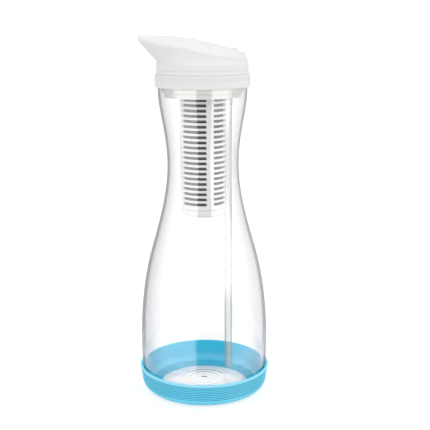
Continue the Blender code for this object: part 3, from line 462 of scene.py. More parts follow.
class Tree(Nodes):
    """A geometry node tree with named inputs that ends in realised pieces with a material."""

    def __init__(self, name, **inputs):
        self.group = bpy.data.node_groups.new(name, "GeometryNodeTree")
        super().__init__(self.group)
        face = self.group.interface
        for way in ("INPUT", "OUTPUT"):
            face.new_socket("Geometry", in_out=way, socket_type="NodeSocketGeometry")
        self.keys = {}
        for label, kind in {**inputs, "Material": "Material"}.items():
            socket = face.new_socket(label, in_out="INPUT", socket_type="NodeSocket" + kind)
            self.keys[label] = socket.identifier
        self.inputs = self.add("NodeGroupInput")

    def vector(self, x=0.0, y=0.0, z=0.0):
        return self.add("ShaderNodeCombineXYZ", {"X": x, "Y": y, "Z": z})[0]

    def polar(self, radius, angle, height):
        """A place by its distance from the Z axis, its angle round it and its height."""
        x = self.math("MULTIPLY", radius, self.math("COSINE", angle))
        y = self.math("MULTIPLY", radius, self.math("SINE", angle))
        return self.vector(x, y, height)

    def split(self, vector):
        return self.add("ShaderNodeSeparateXYZ", {"Vector": vector})

    def mix(self, share, first, second):
        return self.add("ShaderNodeMix", {"Factor": share, "A": first, "B": second})[0]

    def line(self, count, step=(0.0, 0.0, 0.0), start=(0.0, 0.0, 0.0)):
        """A row of points, each a step from the last."""
        return self.add("GeometryNodeMeshLine", {
            "Count": count, "Start Location": start, "Offset": step})[0]

    def circle(self, sides, radius):
        return self.add("GeometryNodeCurvePrimitiveCircle", {
            "Resolution": sides, "Radius": radius})["Curve"]

    def straight(self, start, end):
        return self.add("GeometryNodeCurvePrimitiveLine", {"Start": start, "End": end})[0]

    def swept(self, curve, section, caps=False):
        """A bar of a section along a curve."""
        return self.add("GeometryNodeCurveToMesh", {
            "Curve": curve, "Profile Curve": section, "Fill Caps": caps})[0]

    def copies(self, points, instance, **more):
        return self.add("GeometryNodeInstanceOnPoints", {
            "Points": points, "Instance": instance, **more})[0]

    def realised(self, geometry):
        return self.add("GeometryNodeRealizeInstances", {"Geometry": geometry})[0]

    def wrapped(self, geometry, position, weld):
        """Move points to their places and merge those that meet there."""
        moved = self.add("GeometryNodeSetPosition", {
            "Geometry": geometry, "Position": position})[0]
        return self.add("GeometryNodeMergeByDistance", {"Geometry": moved, "Distance": weld})[0]

    def raised(self, geometry, height):
        """Lift pieces to a height."""
        return self.add("GeometryNodeTransform", {
            "Geometry": geometry, "Translation": self.vector(z=height)})[0]

    def join(self, *parts):
        node = self.nodes.new("GeometryNodeJoinGeometry")
        for part in parts:
            self.links.new(part, node.inputs[0])
        return node.outputs[0]

    def end(self, geometry):
        """Realise the pieces, give them the material and hand them out."""
        dressed = self.add("GeometryNodeSetMaterial", {
            "Geometry": self.realised(geometry), "Material": self.inputs["Material"]})[0]
        self.add("NodeGroupOutput", {"Geometry": dressed})
        return self


def turning_tree():
    """Spins the object's own chain of (radius, height) points round the Z axis."""
    tree = Tree("Turned body", Steps="Int")
    chain = tree.inputs["Geometry"]
    points = tree.add("GeometryNodeAttributeDomainSize", {"Geometry": chain},
                      component="MESH")["Point Count"]
    columns = tree.math("ADD", tree.inputs["Steps"], 1.0)
    grid = tree.add("GeometryNodeMeshGrid", {"Size X": 1.0, "Size Y": 1.0, "Vertices X": points,
                                             "Vertices Y": columns})["Mesh"]
    place = tree.add("GeometryNodeInputPosition")[0]
    along = tree.split(place)
    share = tree.math("ADD", along["X"], GRID_HALF)
    index = tree.math("ROUND", tree.math("MULTIPLY", share, tree.math("SUBTRACT", points, 1.0)))
    station = tree.split(tree.add(
        "GeometryNodeSampleIndex", {"Geometry": chain, "Value": place, "Index": index},
        data_type="FLOAT_VECTOR", domain="POINT")[0])
    angle = tree.math("MULTIPLY", tree.math("ADD", along["Y"], GRID_HALF), math.tau)
    return tree.end(tree.wrapped(grid, tree.polar(station["X"], angle, station["Z"]), WELD))


def slotted_tree():
    """Repeats the object's own slot in rows and columns and wraps them into a drafted tube."""
    tree = Tree("Slotted housing", Columns="Int", Rows="Int", Pitch="Float", Start="Float",
                Radius="Float", Draft="Float", Bore="Float", Lowest="Float", Bottom="Float",
                Top="Float")
    given = tree.inputs
    pitch, lowest, bottom, top = (given[key] for key in ("Pitch", "Lowest", "Bottom", "Top"))
    step = tree.math("DIVIDE", math.tau, given["Columns"])
    up = tree.line(given["Rows"], tree.vector(z=pitch), tree.vector(z=lowest))
    column = tree.realised(tree.copies(up, given["Geometry"]))
    sheet = tree.realised(tree.copies(tree.line(given["Columns"], tree.vector(step)), column))
    place = tree.split(tree.add("GeometryNodeInputPosition")[0])
    half = tree.math("MULTIPLY", pitch, ROW_HALF)
    rise = tree.math("MULTIPLY", tree.math("SUBTRACT", given["Rows"], 1.0), pitch)
    last = tree.math("ADD", tree.math("ADD", lowest, rise), half)
    first = tree.math("SUBTRACT", lowest, half)
    height = tree.mix(tree.math("GREATER_THAN", place["Z"], last), place["Z"], top)
    height = tree.mix(tree.math("LESS_THAN", place["Z"], first), height, bottom)
    drop = tree.math("DIVIDE", tree.math("SUBTRACT", top, height),
                     tree.math("SUBTRACT", top, bottom))
    outer = tree.math("SUBTRACT", given["Radius"], tree.math("MULTIPLY", given["Draft"], drop))
    radius = tree.mix(place["Y"], outer, given["Bore"])
    angle = tree.math("ADD", given["Start"], place["X"])
    return tree.end(tree.wrapped(sheet, tree.polar(radius, angle, height), SLOT_WELD))


def wire_tree():
    """Level rings and upright stays of a fine mesh, laid on the object's own sleeve."""
    tree = Tree("Mesh wires", Rings="Int", Stays="Int", Radius="Float", Wire="Float",
                Bottom="Float", Top="Float")
    given = tree.inputs
    bottom, top = given["Bottom"], given["Top"]
    section = tree.circle(WIRE_SIDES, given["Wire"])
    hoop = tree.swept(tree.circle(HOOP_STEPS, given["Radius"]), section)
    gap = tree.math("DIVIDE", tree.math("SUBTRACT", top, bottom),
                    tree.math("ADD", given["Rings"], 1.0))
    rungs = tree.line(given["Rings"], tree.vector(z=gap),
                      tree.vector(z=tree.math("ADD", bottom, gap)))
    stay = tree.straight(tree.vector(z=bottom), tree.vector(z=top))
    post = tree.swept(stay, section, caps=True)
    feet = tree.add("GeometryNodeMeshCircle", {
        "Vertices": given["Stays"], "Radius": given["Radius"]})[0]
    return tree.end(tree.join(given["Geometry"], tree.copies(rungs, hoop),
                              tree.copies(feet, post)))


def thread_tree():
    """A round ridge on a helix."""
    tree = Tree("Screw thread", Turns="Float", Pitch="Float", Radius="Float", Ridge="Float",
                Height="Float")
    given = tree.inputs
    helix = tree.add("GeometryNodeCurveSpiral", {
        "Resolution": HELIX_STEPS, "Rotations": given["Turns"],
        "Start Radius": given["Radius"], "End Radius": given["Radius"],
        "Height": tree.math("MULTIPLY", given["Turns"], given["Pitch"])})[0]
    ridge = tree.swept(helix, tree.circle(RIDGE_SIDES, given["Ridge"]), caps=True)
    return tree.end(tree.raised(ridge, given["Height"]))


def grain_tree():
    """Grains scattered over the object's own core."""
    tree = Tree("Filter grains", Density="Float", Size="Float", Seed="Int")
    given = tree.inputs

    def drawn(low, high):
        """A random vector for each grain."""
        return tree.add("FunctionNodeRandomValue", {
            "Min": (low,) * 3, "Max": (high,) * 3, "Seed": given["Seed"]},
            data_type="FLOAT_VECTOR")[0]

    points = tree.add("GeometryNodeDistributePointsOnFaces", {
        "Mesh": given["Geometry"], "Density": given["Density"], "Seed": given["Seed"]})[0]
    grain = tree.add("GeometryNodeMeshIcoSphere", {
        "Radius": tree.math("MULTIPLY", given["Size"], 0.5), "Subdivisions": 1})[0]
    heap = tree.copies(points, grain, Scale=drawn(SMALLEST_GRAIN, 1.0),
                       Rotation=drawn(0.0, math.tau))
    return tree.end(tree.join(given["Geometry"], heap))


def screen_tree():
    """Rings and spokes of a round filter screen, laid inside the object's own rim."""
    tree = Tree("Filter screen", Rings="Int", Bars="Int", Radius="Float", Bar="Float",
                Height="Float")
    given = tree.inputs
    section = tree.circle(BAR_SIDES, given["Bar"])
    gap = tree.math("DIVIDE", given["Radius"], tree.math("ADD", given["Rings"], 1.0))
    order = tree.add("GeometryNodeInputIndex")[0]
    size = tree.math("MULTIPLY", gap, tree.math("ADD", order, 1.0))
    hoops = tree.copies(tree.line(given["Rings"]), tree.circle(SCREEN_STEPS, 1.0),
                        Scale=tree.vector(size, size, 1.0))
    rings = tree.swept(tree.realised(hoops), section)
    spoke = tree.straight(tree.vector(gap), tree.vector(given["Radius"]))
    swing = tree.math("MULTIPLY", order, tree.math("DIVIDE", math.tau, given["Bars"]))
    bars = tree.copies(tree.line(given["Bars"]), tree.swept(spoke, section, caps=True),
                       Rotation=tree.vector(z=swing))
    grate = tree.raised(tree.join(rings, bars), given["Height"])
    return tree.end(tree.join(given["Geometry"], grate))


# Trees that have been made, by the functions that make them.
trees = {}


def as_mesh(shape, name):
    """Turn a bmesh into a mesh and free it."""
    mesh = bpy.data.meshes.new(name)
    shape.to_mesh(mesh)
    shape.free()
    return mesh


def placed(name, data):
    """A new object in the scene."""
    item = bpy.data.objects.new(name, data)
    bpy.context.scene.collection.objects.link(item)
    return item


def evaluated(holder):
    """The mesh that an object's modifiers make."""
    bpy.context.view_layer.update()
    graph = bpy.context.evaluated_depsgraph_get()
    return bpy.data.meshes.new_from_object(holder.evaluated_get(graph))


def grown(maker, mesh, slot, **values):
    """Run a tree on a mesh with its inputs set, and return the plain mesh that it makes."""
    if maker not in trees:
        trees[maker] = maker()
    tree = trees[maker]
    holder = placed("holder", mesh)
    modifier = holder.modifiers.new(tree.group.name, "NODES")
    modifier.node_group = tree.group
    for label, value in {**values, "Material": finish_for(slot)}.items():
        modifier[tree.keys[label]] = value
    made = evaluated(holder)
    holder.modifiers.remove(modifier)
    bpy.data.objects.remove(holder)
    return made


def turned(outline, steps, slot, closed=True, x=0.0):
    """A body of revolution from an outline of (radius, height), moved along X."""
    points = list(outline)
    if closed:
        points.append(points[0])
    chain = bpy.data.meshes.new("outline")
    chain.from_pydata([(radius, 0.0, height) for radius, height in points],
                      [(i, i + 1) for i in range(len(points) - 1)], [])
    made = grown(turning_tree, chain, slot, Steps=steps)
    made.transform(Matrix.Translation((x, 0.0, 0.0)))
    return made


def bend(start, corner, stop, steps):
    """Points on a curve from start to stop that follows the two sides of a corner."""
    points = []
    for k in range(steps + 1):
        t = k / steps
        point = start * (1 - t) ** 2 + corner * (2 * t * (1 - t)) + stop * t ** 2
        points.append((point.x, point.y))
    return points


def rounded(outline, radius, steps=3, closed=True):
    """Round the corners of an outline, by no more than its sides allow."""
    count = len(outline)
    points = []
    for i, corner in enumerate(outline):
        if not closed and i in (0, count - 1):
            points.append(corner)
            continue
        here = Vector(corner)
        before = Vector(outline[i - 1]) - here
        after = Vector(outline[(i + 1) % count]) - here
        cut = min(radius, SIDE_SHARE * before.length, SIDE_SHARE * after.length)
        points += bend(here + before.normalized() * cut, here,
                       here + after.normalized() * cut, steps)
    return points


def oblong(inner, outer, low, high):
    """A rectangle in the (radius, height) plane, from its lower inner corner round."""
    return [(inner, low), (outer, low), (outer, high), (inner, high)]


def arc(centre, radius, start, end, steps):
    """Points on a circle in the (radius, height) plane, angles in degrees."""
    angles = [math.radians(angle) for angle in spaced(start, end, steps)]
    return [(centre[0] + radius * math.cos(a), centre[1] + radius * math.sin(a)) for a in angles]


def spaced(low, high, count):
    """Evenly spaced values from low to high."""
    return [low + (high - low) * i / count for i in range(count + 1)]


def clamped(share):
    """A share kept between 0 and 1."""
    return min(max(share, 0.0), 1.0)


def eased(value, low, high):
    """0 below a value and 1 above another, with a smooth rise between them."""
    share = clamped((value - low) / (high - low))
    return share * share * (3 - 2 * share)


def merged(*parts):
    """One mesh from several."""
    shape = bmesh.new()
    for part in parts:
        shape.from_mesh(part)
    return as_mesh(shape, "merged")


def lofted(loops, closed):
    """Faces between loops of points, with the last loop joined to the first if closed."""
    shape = bmesh.new()
    rings = [[shape.verts.new(point) for point in loop] for loop in loops]
    pairs = list(zip(rings, rings[1:]))
    if closed:
        pairs.append((rings[-1], rings[0]))
    for low, high in pairs:
        for k in range(len(low)):
            after = (k + 1) % len(low)
            shape.faces.new((low[k], low[after], high[after], high[k]))
    return as_mesh(shape, "loft")


def carved(mesh, tools):
    """Join other closed meshes to a closed mesh, or cut them from it."""
    holder = placed("holder", mesh)
    helpers = []
    for tool, operation in tools:
        helpers.append(placed("helper", tool))
        modifier = holder.modifiers.new("carve", "BOOLEAN")
        modifier.operation = operation
        modifier.solver = "EXACT"
        modifier.object = helpers[-1]
    made = evaluated(holder)
    for item in helpers + [holder]:
        bpy.data.objects.remove(item)
    return made


def slab(outline, y_low, y_high, bevel):
    """Extrude an (x, z) outline along Y and soften its edges."""
    shape = bmesh.new()
    face = shape.faces.new([shape.verts.new((x, y_low, z)) for x, z in outline])
    made = bmesh.ops.extrude_face_region(shape, geom=[face])
    moved = [item for item in made["geom"] if isinstance(item, bmesh.types.BMVert)]
    bmesh.ops.translate(shape, verts=moved, vec=(0.0, y_high - y_low, 0.0))
    bmesh.ops.recalc_face_normals(shape, faces=shape.faces)
    ends = [edge for edge in shape.edges
            if abs(edge.verts[0].co.y - edge.verts[1].co.y) < LEVEL]
    bmesh.ops.bevel(shape, geom=ends, offset=bevel, segments=3, affect="EDGES", profile=0.5)
    return as_mesh(shape, "slab")


def lying(mesh):
    """Lay a mesh that stands on the Z axis along the hinge."""
    mesh.transform(Matrix.Translation((hinge_x, 0.0, hinge_z))
                   @ Matrix.Rotation(math.pi / 2, 4, "X"))
    return mesh


def add_piece(name, mesh, finish, body, node, sharp=SHARP):
    """Close and smooth a mesh and set it up as a piece that rides on a body."""
    shape = bmesh.new()
    shape.from_mesh(mesh)
    bmesh.ops.remove_doubles(shape, verts=shape.verts, dist=WELD)
    bmesh.ops.dissolve_degenerate(shape, edges=shape.edges, dist=SLIVER)
    bmesh.ops.recalc_face_normals(shape, faces=shape.faces)
    clean = as_mesh(shape, name)
    clean.materials.append(finish_for(finish))
    clean.shade_smooth()
    clean.set_sharp_from_angle(angle=sharp)
    piece = placed(name, clean)
    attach(piece, body)
    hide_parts(node)
    return piece


def mark_points(piece, name, share):
    """Write a value that follows from its radius and height on each point of a piece."""
    marks = piece.data.attributes.new(name, "FLOAT", "POINT").data
    for vertex, mark in zip(piece.data.vertices, marks):
        mark.value = float(share(math.hypot(vertex.co.x, vertex.co.y), vertex.co.z))


class Shading(Nodes):
    """A material's nodes, with short ways to add those that the finishes share."""

    def __init__(self, name):
        self.material = bpy.data.materials.new(name)
        self.material.use_nodes = True
        super().__init__(self.material.node_tree)
        self.shader = self.nodes["Principled BSDF"]
        self.place = self.add("ShaderNodeTexCoord")["Object"]

    def noise(self, scale, detail=3.0):
        """Noise of one scale, or of a scale for each axis."""
        place = self.place
        if isinstance(scale, tuple):
            place = self.add("ShaderNodeMapping", {"Vector": place, "Scale": scale})[0]
            scale = 1.0
        return self.add("ShaderNodeTexNoise", {
            "Vector": place, "Scale": scale, "Detail": detail})[0]

    def mapped(self, value, low=0.0, high=1.0, start=0.3, stop=0.7):
        """Ease from low to high while a value goes from start to stop."""
        return self.add("ShaderNodeMapRange", {
            "Value": value, "From Min": start, "From Max": stop, "To Min": low, "To Max": high},
            interpolation_type="SMOOTHSTEP")[0]

    def blend(self, share, first, second):
        """A mix of two colours, each plain or from another node."""
        ends = [end if isinstance(end, bpy.types.NodeSocket) else (*end, 1.0)
                for end in (first, second)]
        results = self.add("ShaderNodeMix", {"Factor": share, "A": ends[0], "B": ends[1]},
                           data_type="RGBA")
        return next(result for result in results if result.enabled)

    def patches(self, first, second, scale=60.0):
        """Two tints in soft patches."""
        return self.blend(self.mapped(self.noise(scale)), first, second)

    def marked(self, name):
        """The value that mark_points wrote on a piece."""
        return self.add("ShaderNodeAttribute", attribute_name=name)["Fac"]

    def facing(self):
        """From 0 where a surface is seen straight on to 1 at its outline."""
        return self.add("ShaderNodeLayerWeight", {"Blend": 0.5})["Facing"]

    def feed(self, **sockets):
        """Link or set sockets of the shader, with underscores for spaces."""
        for key, value in sockets.items():
            self.give(self.shader.inputs[key.replace("_", " ")], value)

    def relief(self, height, strength, depth):
        """Raise the surface where a height is great."""
        self.feed(Normal=self.add("ShaderNodeBump", {
            "Height": height, "Strength": strength, "Distance": depth})[0])

    def skin(self, tint, grain, roughness, depth, strength=0.35, **more):
        """A tint with uneven gloss and relief, both from one grain."""
        self.feed(Base_Color=tint, Roughness=self.mapped(grain, *roughness), **more)
        self.relief(grain, strength, depth)

    def mixed(self, share, first, second):
        """A mix of two shaders."""
        return self.add("ShaderNodeMixShader", {0: share, 1: first, 2: second})[0]

    def surface(self, shader):
        """Hand out the finished shader."""
        self.give(self.nodes["Material Output"].inputs["Surface"], shader)


def scaled(tint, factor):
    """A paler or darker tint."""
    return tuple(min(1.0, part * factor) for part in tint)


def white_plastic(look, colours):
    """Satin plastic in two near tints, with a fine moulded grain."""
    tint = look.patches(colours.white, colours.white_shade, scale=40.0)
    look.skin(tint, look.noise(scale=3800.0), roughness=(0.54, 0.64), depth=0.00003,
              Specular_IOR_Level=0.12)


def clear_seal(look, colours):
    """Milky silicone that lets some light through."""
    tint = look.patches(colours.seal, colours.seal_tint_and_collar_shade)
    look.skin(tint, look.noise(scale=2400.0), roughness=(0.3, 0.42), depth=0.00004,
              Transmission_Weight=0.3)


def blue_silicone(look, colours):
    """Satin silicone with a soft bloom, painted highlight on the rim, painted shade in the grooves
    and painted light inside.
    """
    tint = look.patches(colours.silicone, colours.silicone_pale)
    # Painted light on the boot: a painted highlight on the rim band, painted shade in the grooves
    # and painted light on the inside.
    for mark, shade in (("rim", colours.silicone_rim_painted_highlight), ("groove", colours.silicone_groove_painted_shade),
                        ("inside", colours.silicone_inside_painted_light)):
        tint = look.blend(look.marked(mark), tint, shade)
    look.skin(tint, look.noise(scale=2600.0), roughness=(0.48, 0.58), depth=0.00006,
              Specular_IOR_Level=0.22, Subsurface_Weight=0.15, Subsurface_Scale=1.0,
              Subsurface_Radius=(0.0006, 0.001, 0.0012))


def frosted_silicone(look, colours):
    """Milky silicone: painted shade greys it over the rim; the sleeve has painted light and a warm
    tint.
    """
    sizes = bpy.context.scene.carafe_stopper
    height = look.add("ShaderNodeSeparateXYZ", {"Vector": look.place})["Z"]
    below, above = sizes.collar_shade_fade
    # Painted shade: the collar greys over the rim.
    collar_shade = look.mapped(height, start=sizes.web_height + below, stop=sizes.web_height + above)
    # Painted light: the sleeve below the collar is paler; its warmth is its own cream tint.
    collar = look.mapped(height, start=sizes.collar_bottom - sizes.sleeve_light_fade,
                         stop=sizes.collar_bottom)
    tint = look.blend(collar_shade, colours.collar, colours.seal_tint_and_collar_shade)
    look.skin(look.blend(collar, colours.sleeve, tint), look.noise(scale=3200.0),
              roughness=(0.42, 0.56), depth=0.00005, Specular_IOR_Level=0.12,
              Subsurface_Weight=look.mapped(collar, low=0.15, high=0.7, start=0.0, stop=1.0),
              Subsurface_Scale=1.0, Subsurface_Radius=(0.006, 0.0055, 0.005))


def clear_glass(look, colours):
    """Glass with painted shade: grey where it is seen at a slant, dark where seen along its wall.

    Lamps shine straight through it, and so do reflections of the studio in its far faces. Its
    gloss fades at the outline, where a painted grey shade shows.
    """
    # Painted shade: a grey haze and a dark tint laid on the glass by how slantwise it is seen,
    # times the share marked on each point.
    slant = look.math("MULTIPLY", look.facing(), look.marked("outside"))
    slant_shade = look.blend(look.mapped(slant, start=0.14, stop=0.6), colours.glass, colours.glass_slant_painted_shade)
    edge = look.blend(look.mapped(slant, start=0.62, stop=0.88), slant_shade, colours.glass_wall_painted_shade)
    look.feed(Base_Color=edge, IOR=1.46, Transmission_Weight=1.0,
              Roughness=look.mapped(look.noise(scale=22.0, detail=2.0), high=0.006))
    look.relief(look.noise(scale=55.0, detail=1.0), strength=0.05, depth=0.0004)
    path = look.add("ShaderNodeLightPath")
    lamp = look.math("MAXIMUM", path["Is Shadow Ray"], path["Is Diffuse Ray"])
    mirror = look.math("SUBTRACT", path["Is Glossy Ray"], path["Is Transmission Ray"])
    near = look.math("LESS_THAN", path["Transmission Depth"], NEAR_WALLS)
    through = look.math("MAXIMUM", lamp, look.math("MULTIPLY", mirror, near))
    plain, outline_shade = (look.add("ShaderNodeBsdfTransparent", {"Color": (*tint, 1.0)})[0]
                   for tint in (colours.glass_light, colours.glass_outline_painted_shade))
    # Painted shade at the outline: a grey see-through tint takes over from the glass there.
    grazed = look.mapped(slant, high=0.75, start=0.6, stop=0.85)
    glass = look.mixed(grazed, look.shader.outputs[0], outline_shade)
    look.surface(look.mixed(through, glass, plain))


def frosted_plastic(look, colours):
    """A milky tube that shows what is behind it, with fine draw lines along it."""
    facing = look.facing()
    # Painted shade at the tube's outline.
    tint = look.blend(look.mapped(facing, start=0.3, stop=0.66), colours.tube, colours.tube_outline_painted_shade)
    lines = look.noise(scale=(1400.0, 1400.0, 12.0), detail=2.0)
    look.skin(tint, lines, roughness=(0.22, 0.36), depth=0.00005, strength=0.2,
              Alpha=look.mapped(facing, low=0.14, high=0.85))


def steel(look, colours):
    """Steel ground round its length."""
    lines = look.noise(scale=(900.0, 9000.0, 900.0), detail=2.0)
    look.skin(look.blend(lines, colours.steel, scaled(colours.steel, factor=0.8)), lines,
              roughness=(0.18, 0.38), depth=0.00002, strength=0.2, Metallic=1.0)


def black_mesh(look, colours):
    """Mesh with a satin gloss on its wires."""
    weave = look.noise(scale=2600.0, detail=2.0)
    look.skin(look.blend(weave, colours.mesh, scaled(colours.mesh, factor=2.2)), weave,
              roughness=(0.26, 0.42), depth=0.00008, strength=0.3, Specular_IOR_Level=0.7)


def granular(look, base, spread, roughness):
    """Grains that differ in tint from one to the next."""
    cells = look.add("ShaderNodeTexVoronoi", {"Vector": look.place, "Scale": 700.0})["Color"]
    shade = look.add("ShaderNodeSeparateColor", {"Color": cells})[0]
    look.skin(look.blend(shade, base, scaled(base, spread)), look.noise(scale=5200.0), roughness,
              depth=0.0001, strength=0.6)


def black_carbon(look, colours):
    """Dull black grains."""
    granular(look, colours.carbon, spread=2.4, roughness=(0.5, 0.9))


def clay_mineral(look, colours):
    """Fired clay grains."""
    granular(look, colours.mineral, spread=1.5, roughness=(0.6, 0.9))


def white_felt(look, colours):
    """Felt, with short fibres lying every way."""
    height = look.math("MAXIMUM", look.noise(scale=(5200.0, 900.0, 5200.0), detail=4.0),
                       look.noise(scale=(900.0, 5200.0, 5200.0), detail=4.0))
    tint = look.blend(look.mapped(height), scaled(colours.felt, factor=0.86), colours.felt)
    look.feed(Base_Color=tint, Roughness=0.95, Sheen_Weight=0.3)
    look.relief(height, strength=0.8, depth=0.0003)


# Each finish has the name of its slot.
finish_makers = {maker.__name__: maker for maker in (
    clear_glass, blue_silicone, frosted_silicone, white_plastic, frosted_plastic, clear_seal,
    steel, black_mesh, black_carbon, clay_mineral, white_felt)}


def finish_for(slot):
    """The material of a slot, made on first use."""
    name = slot + "_look"
    if name not in bpy.data.materials:
        finish_makers[slot](Shading(name), bpy.context.scene.carafe_colours)
    return bpy.data.materials[name]


def hermite(height, low, high):
    """Radius at a height on a cubic between two (height, radius, slope) stations."""
    span = high[0] - low[0]
    t = (height - low[0]) / span
    start = (1 + 2 * t) * (1 - t) ** 2 * low[1] + t * (1 - t) ** 2 * span * low[2]
    end = t ** 2 * (3 - 2 * t) * high[1] + t ** 2 * (t - 1) * span * high[2]
    return start + end


def heel_centre(b):
    """Centre of the heel's rounding, as (radius, height)."""
    return b.heel_radius - b.heel_rounding, bottle_low.z + b.heel_rounding


def bottle_stations(b):
    """The (height, radius, slope) stations that the bottle's outside passes through."""
    return [
        (heel_centre(b)[1], b.heel_radius, b.heel_slope), (b.belly_height, b.belly_radius, 0.0),
        (b.shoulder_height, b.shoulder_radius, b.shoulder_slope),
        (b.waist_height, b.waist_radius, 0.0), (b.flare_height, b.flare_radius, b.flare_slope),
        (b.mouth_height, b.mouth_radius, 0.0),
    ]


def bottle_radius(b, height):
    """Outside radius of the bottle above its heel."""
    stations = bottle_stations(b)
    for low, high in zip(stations, stations[1:]):
        if height <= high[0]:
            return hermite(height, low, high)
    return b.mouth_radius


def bottle_side(b, inset):
    """Points up the side of the bottle, drawn in square to it by an inset."""
    stations = bottle_stations(b)
    points = []
    for low, high in zip(stations, stations[1:]):
        nudge = (high[0] - low[0]) * NUDGE
        for height in spaced(low[0], high[0], b.curve_steps)[:-1]:
            rise = bottle_radius(b, height + nudge) - bottle_radius(b, height - nudge)
            tilt = 0.0 if height <= stations[0][0] else math.atan(rise / (2 * nudge))
            points.append((bottle_radius(b, height) - inset * math.cos(tilt),
                           height + inset * math.sin(tilt)))
    points.append((b.mouth_radius - inset, b.mouth_height))
    return points


def floor_dome(b, base, rings):
    """Points of the floor's dome, from its edge in to the axis, with moulding rings if asked."""
    points = []
    for share in spaced(1.0, 0.0, b.dome_steps):
        radius = b.punt_radius * share
        height = base + b.punt_height * (1 - share ** 2)
        if rings:
            fade = math.exp(-((radius - b.ripple_radius) / b.ripple_reach) ** 2)
            height += b.ripple_depth * fade * math.cos(math.tau * radius / b.ripple_pitch)
            height += b.gate_depth * math.exp(-(radius / b.gate_radius) ** 2)
        points.append((radius, height))
    return points


def bottle_outline(b):
    """Outline of the bottle, from under its floor up the outside and down the inside."""
    base, top = bottle_low.z, bottle_high.z
    flat, heel = heel_centre(b)
    lip = b.wall / 2
    outline = floor_dome(b, base, True)[::-1]
    outline += arc((flat, heel), b.heel_rounding, -90, 0, steps=12)
    outline += bottle_side(b, 0.0)[1:]
    outline += arc((b.mouth_radius - lip, top - lip), lip, 0, 180, steps=10)
    outline += bottle_side(b, b.wall)[:0:-1]
    outline += arc((flat, heel + b.floor - b.wall), b.heel_rounding - b.wall, 0, -90, steps=12)
    outline += floor_dome(b, base + b.floor, False)
    return outline


def boot_radius(b, height, offset):
    """Radius at an even offset from the bottle that the boot covers."""
    flat, heel = heel_centre(b)
    if height >= heel:
        return bottle_radius(b, height) + offset
    return flat + math.sqrt(max((b.heel_rounding + offset) ** 2 - (heel - height) ** 2, 0.0))


def groove_share(k, height):
    """1 at the bottom of each of the boot's grooves, and 0 between them."""
    first = boot_high.z - k.band
    grooves = (first - k.groove_pitch * i for i in range(k.groove_count))
    shares = (math.exp(-((height - groove) / k.groove_width) ** 2) for groove in grooves)
    return min(sum(shares), 1.0)


def boot_outline(b, k):
    """Outline of the boot, with its grooves cut into an even skin round the heel."""
    outside = k.gap + k.wall
    flat, heel = heel_centre(b)
    top = boot_high.z
    first = top - k.band
    low = first - k.groove_pitch * k.groove_count
    skin = b.heel_rounding + outside
    window = flat - k.lip
    outline = [(window, k.wall - k.edge), (window, k.edge),
               (window + BEVEL * k.edge, BEVEL * k.edge), (window + k.edge, 0.0)]
    sweep = math.degrees(math.asin((low - heel) / skin))
    outline += arc((flat, heel), skin, -90, sweep, steps=10)[:-1]
    for height in spaced(low, first + k.groove_pitch, (k.groove_count + 1) * k.rows):
        depth = k.groove_depth * groove_share(k, height)
        outline.append((boot_radius(b, height, outside) - depth, height))
    lip = k.wall / 2
    outline += arc((boot_radius(b, top, k.gap) + lip, top - lip), lip, 0, 180, steps=8)
    for height in spaced(top - lip, heel, k.inner_rows)[1:-1]:
        outline.append((boot_radius(b, height, k.gap), height))
    outline += arc((flat, heel), b.heel_rounding + k.gap, 0, -90, steps=12)
    outline.append((window + k.edge, k.wall))
    return outline


class CARAFE_OT_bottle(bpy.types.Operator):
    """Make the clear hourglass bottle"""
    bl_idname = "carafe.bottle"
    bl_label = "Glass Bottle"

    def execute(self, context):
        b = context.scene.carafe_bottle
        body = turned(bottle_outline(b), b.steps, "clear_glass", closed=False)
        piece = add_piece("glass_bottle", body, "clear_glass", "bottle", "bottle")

        # Share of painted shade on each point: full on the outer face, the floor's share on the
        # top of the floor in place of the shadow under the bottle, and none on the inner face.
        def outside(radius, height):
            dome = b.punt_height * max(1 - (radius / b.punt_radius) ** 2, 0.0)
            if b.floor / 2 < height - bottle_low.z - dome < b.floor * FLOOR_MARGIN:
                return b.floor_painted_shade
            return radius > bottle_radius(b, height) - b.wall / 2

        mark_points(piece, "outside", outside)
        return {"FINISHED"}


class CARAFE_OT_boot(bpy.types.Operator):
    """Make the ribbed silicone boot"""
    bl_idname = "carafe.boot"
    bl_label = "Silicone Boot"

    def execute(self, context):
        k, b = context.scene.carafe_boot, context.scene.carafe_bottle
        skin = turned(boot_outline(b, k), k.steps, "blue_silicone")
        piece = add_piece("silicone_boot", skin, "blue_silicone", "boot", "base_boot", SOFT_SHARP)
        band = boot_high.z - k.band
        middle = k.gap + k.wall / 2
        # Mask of the painted light on the inside.
        mark_points(piece, "inside", lambda radius, height: (
            height > k.wall / 2 and radius < boot_radius(b, height, middle)))
        # Mask of the painted highlight on the rim band.
        mark_points(piece, "rim", lambda radius, height: (
            eased(height, band, band + k.groove_pitch / 2)))
        # Mask of the painted shade in the grooves.
        mark_points(piece, "groove", lambda radius, height: groove_share(k, height) ** 2)
        return {"FINISHED"}


